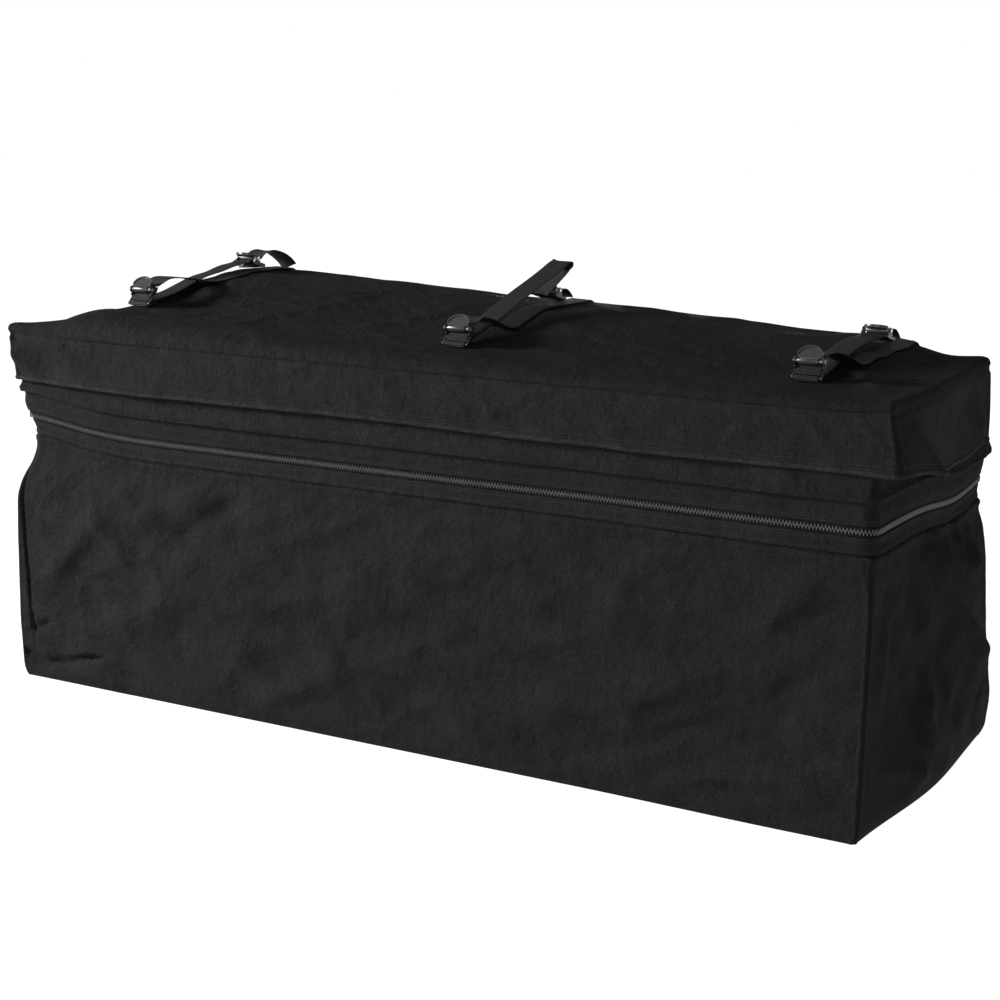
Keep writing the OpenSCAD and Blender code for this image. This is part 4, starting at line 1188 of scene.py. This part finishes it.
def edge_threads(line, across, start, end):
    """Sewing along both edges of a stretch of webbing and across its ends."""
    lift = WEB_T / 2 + 0.2 * MM
    part, side = line[start:end], across[start:end]
    ahead = np.gradient(part, axis=0)
    out = np.cross(side, ahead / np.linalg.norm(ahead, axis=1, keepdims=True))
    out *= np.sign(out[:, 2:3])
    reach = WEB_W / 2 - THREAD_INSET
    lines = [(part + side * reach * k + out * lift, out, False) for k in (-1, 1)]
    t = np.linspace(-1, 1, 12)[:, None]
    for i, j in ((0, 0), (-1, -1), (0, -1), (-1, 0)):
        blend = (t + 1) / 2
        middle = mix(part[i], part[j], blend) + side[i] * reach * t + out[i] * lift
        lines.append((middle, np.repeat(out[i][None], 12, 0), False))
    return lines


def make_straps():
    lines = []
    for k, x in zip(PLACES, STATION_X):
        front, rear = STATIONS[f"{k}_front"], STATIONS[f"{k}_rear"]
        route = laid(x, SEAM_RUN + FIRST_RUN[k]) + [in_buckle(front, *q) for q in FRONT_PASS]
        route += laid(x, SECOND_RUN[k]) + [in_buckle(rear, *q) for q in REAR_PASS] + laid(x, TAIL_RUN[k])
        obj, line, across = webbing(f"{k}_webbing", route)
        piece(obj, "lid", WEBBING, "webbing", f"{k}_strap")
        lines += edge_threads(line, across, 14, 44)
    for name, station in STATIONS.items():
        x, y, turn, _, _ = station
        ease = 0 if turn > 0 else WEB_T / MM + 0.8
        bar = in_buckle(station, 0, BAR_N)
        around = [bar + 3.1 * MM * np.array([0, -turn * math.cos(a), math.sin(a)])
                  for a in np.radians(np.arange(-75, 151, 25))]
        lower = [over_lid(x, y + turn * d * MM, (FLAT_H + 0.3 + ease) * MM) for d in (24, 15)]
        upper = [over_lid(x, y + turn * d * MM, (FLAT_H + 0.8 + ease + WEB_T / MM) * MM)
                 for d in (12, 17, 24)]
        obj, line, across = webbing(f"{name}_tab", lower + around + upper, 5, WEB_W - 1 * MM)
        piece(obj, "lid", WEBBING, "webbing", "buckle_tabs")
        lines += edge_threads(line, across, -11, None)
    stitches("strap_stitches", "lid", lines)


def dress(node, material, bevel=0.0):
    """Gives a shown CAD node its material and softens its moulded edges."""
    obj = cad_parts[node]
    obj.data.materials.clear()
    obj.data.materials.append(material)
    if bevel:
        weld = obj.modifiers.new("weld", "WELD")
        weld.merge_threshold = 0.005 * MM
        soft = obj.modifiers.new("soft", "BEVEL")
        soft.width = bevel
        soft.segments = 2
        soft.limit_method = "ANGLE"
        soft.angle_limit = math.radians(40)
        soft.harden_normals = True


def dress_hardware():
    for name in STATIONS:
        dress(f"{name}_buckle", BUCKLE, 0.35 * MM)
        dress(f"{name}_cam", LEVER, 0.3 * MM)
    dress("buckle_axles", AXLE, 0.25 * MM)
    dress("cam_springs", SPRING)
    for name in ("expansion", "left_lid", "right_lid"):
        dress(f"{name}_slider", SLIDER, 0.25 * MM)
        dress(f"{name}_pull", PULL, 0.2 * MM)


# --- Floor, light and camera ---


def flat_material(name, colour, glow):
    n = Nodes(name)
    where = n.place()
    shade = n.ramp(n.noise(where, 0.7, 2.0), 0.985, 1.0)
    return n.finish(Base_Color=tinted(n, shade, colour), Roughness=0.9, Emission_Color=(1, 1, 1, 1),
                    Emission_Strength=glow)


def make_floor():
    bpy.ops.mesh.primitive_plane_add(size=60)
    floor = bpy.context.object
    floor.name = "floor"
    floor.data.materials.append(flat_material("pale_floor", (0.12, 0.12, 0.12), 0.985))


def area_light(name, place, target, size, power):
    data = bpy.data.lights.new(name, "AREA")
    data.shape = "RECTANGLE"
    data.size, data.size_y = size
    data.energy = power
    obj = bpy.data.objects.new(name, data)
    obj.location = place
    obj.rotation_euler = (Vector(target) - Vector(place)).to_track_quat("-Z", "Y").to_euler()
    bpy.context.scene.collection.objects.link(obj)


def make_light():
    world = bpy.data.worlds.new("studio")
    bpy.context.scene.world = world
    world.use_nodes = True
    tree = world.node_tree
    split = tree.nodes.new("ShaderNodeSeparateXYZ")
    tree.links.new(tree.nodes.new("ShaderNodeTexCoord").outputs["Generated"], split.inputs[0])
    level = tree.nodes.new("ShaderNodeMapRange")
    tree.links.new(split.outputs["Z"], level.inputs["Value"])
    for key, value in {"From Min": 0.08, "From Max": 0.30, "To Min": 1.0, "To Max": 0.12}.items():
        level.inputs[key].default_value = value
    tree.links.new(level.outputs[0], tree.nodes["Background"].inputs["Strength"])
    tree.nodes["Background"].inputs["Color"].default_value = (1, 1, 1, 1)
    area_light("key", (-3.6, -2.3, 1.9), (-0.1, 0, 0.35), (1.0, 0.9), 540)
    area_light("fill", (1.7, -4.2, 1.3), (0.2, 0, 0.35), (1.0, 0.8), 60)
    area_light("rear", (-1.5, 4.2, 0.50), (0, 0, 0.30), (1.2, 0.6), 110)
    area_light("overhead", (-0.2, 0.3, 2.7), (0, 0, 0.6), (2.4, 1.0), 14)


CAMERA_TARGET = (0, 0, 0.300)
CAMERA_AZIMUTH, CAMERA_ELEVATION, CAMERA_ROLL = (math.radians(a) for a in (28.69, 11.34, 1.15))
CAMERA_DISTANCE = 3.0976
CAMERA_LENS = 67.64
CAMERA_OFFSET = (23.1 * MM, 49.1 * MM)


def make_camera():
    a, e, r = CAMERA_AZIMUTH, CAMERA_ELEVATION, CAMERA_ROLL
    back = Vector((math.sin(a) * math.cos(e), -math.cos(a) * math.cos(e), math.sin(e)))
    right = Vector((math.cos(a), math.sin(a), 0))
    up = back.cross(right)
    data = bpy.data.cameras.new("camera")
    data.sensor_width = 36
    data.lens = CAMERA_LENS
    data.clip_end = 200
    obj = bpy.data.objects.new("camera", data)
    bpy.context.scene.collection.objects.link(obj)
    place = Vector(CAMERA_TARGET) + back * CAMERA_DISTANCE
    place += right * CAMERA_OFFSET[0] + up * CAMERA_OFFSET[1]
    right2 = right * math.cos(r) + up * math.sin(r)
    up2 = up * math.cos(r) - right * math.sin(r)
    turn = Matrix((right2, up2, back)).transposed().to_4x4()
    obj.matrix_world = Matrix.Translation(place) @ turn
    bpy.context.scene.camera = obj


make_camera()
make_tub()
make_raising_section()
make_gusset()
make_top()
make_lid()
make_straps()
dress_hardware()
make_floor()
make_light()
bpy.context.scene.view_settings.view_transform = "Standard"
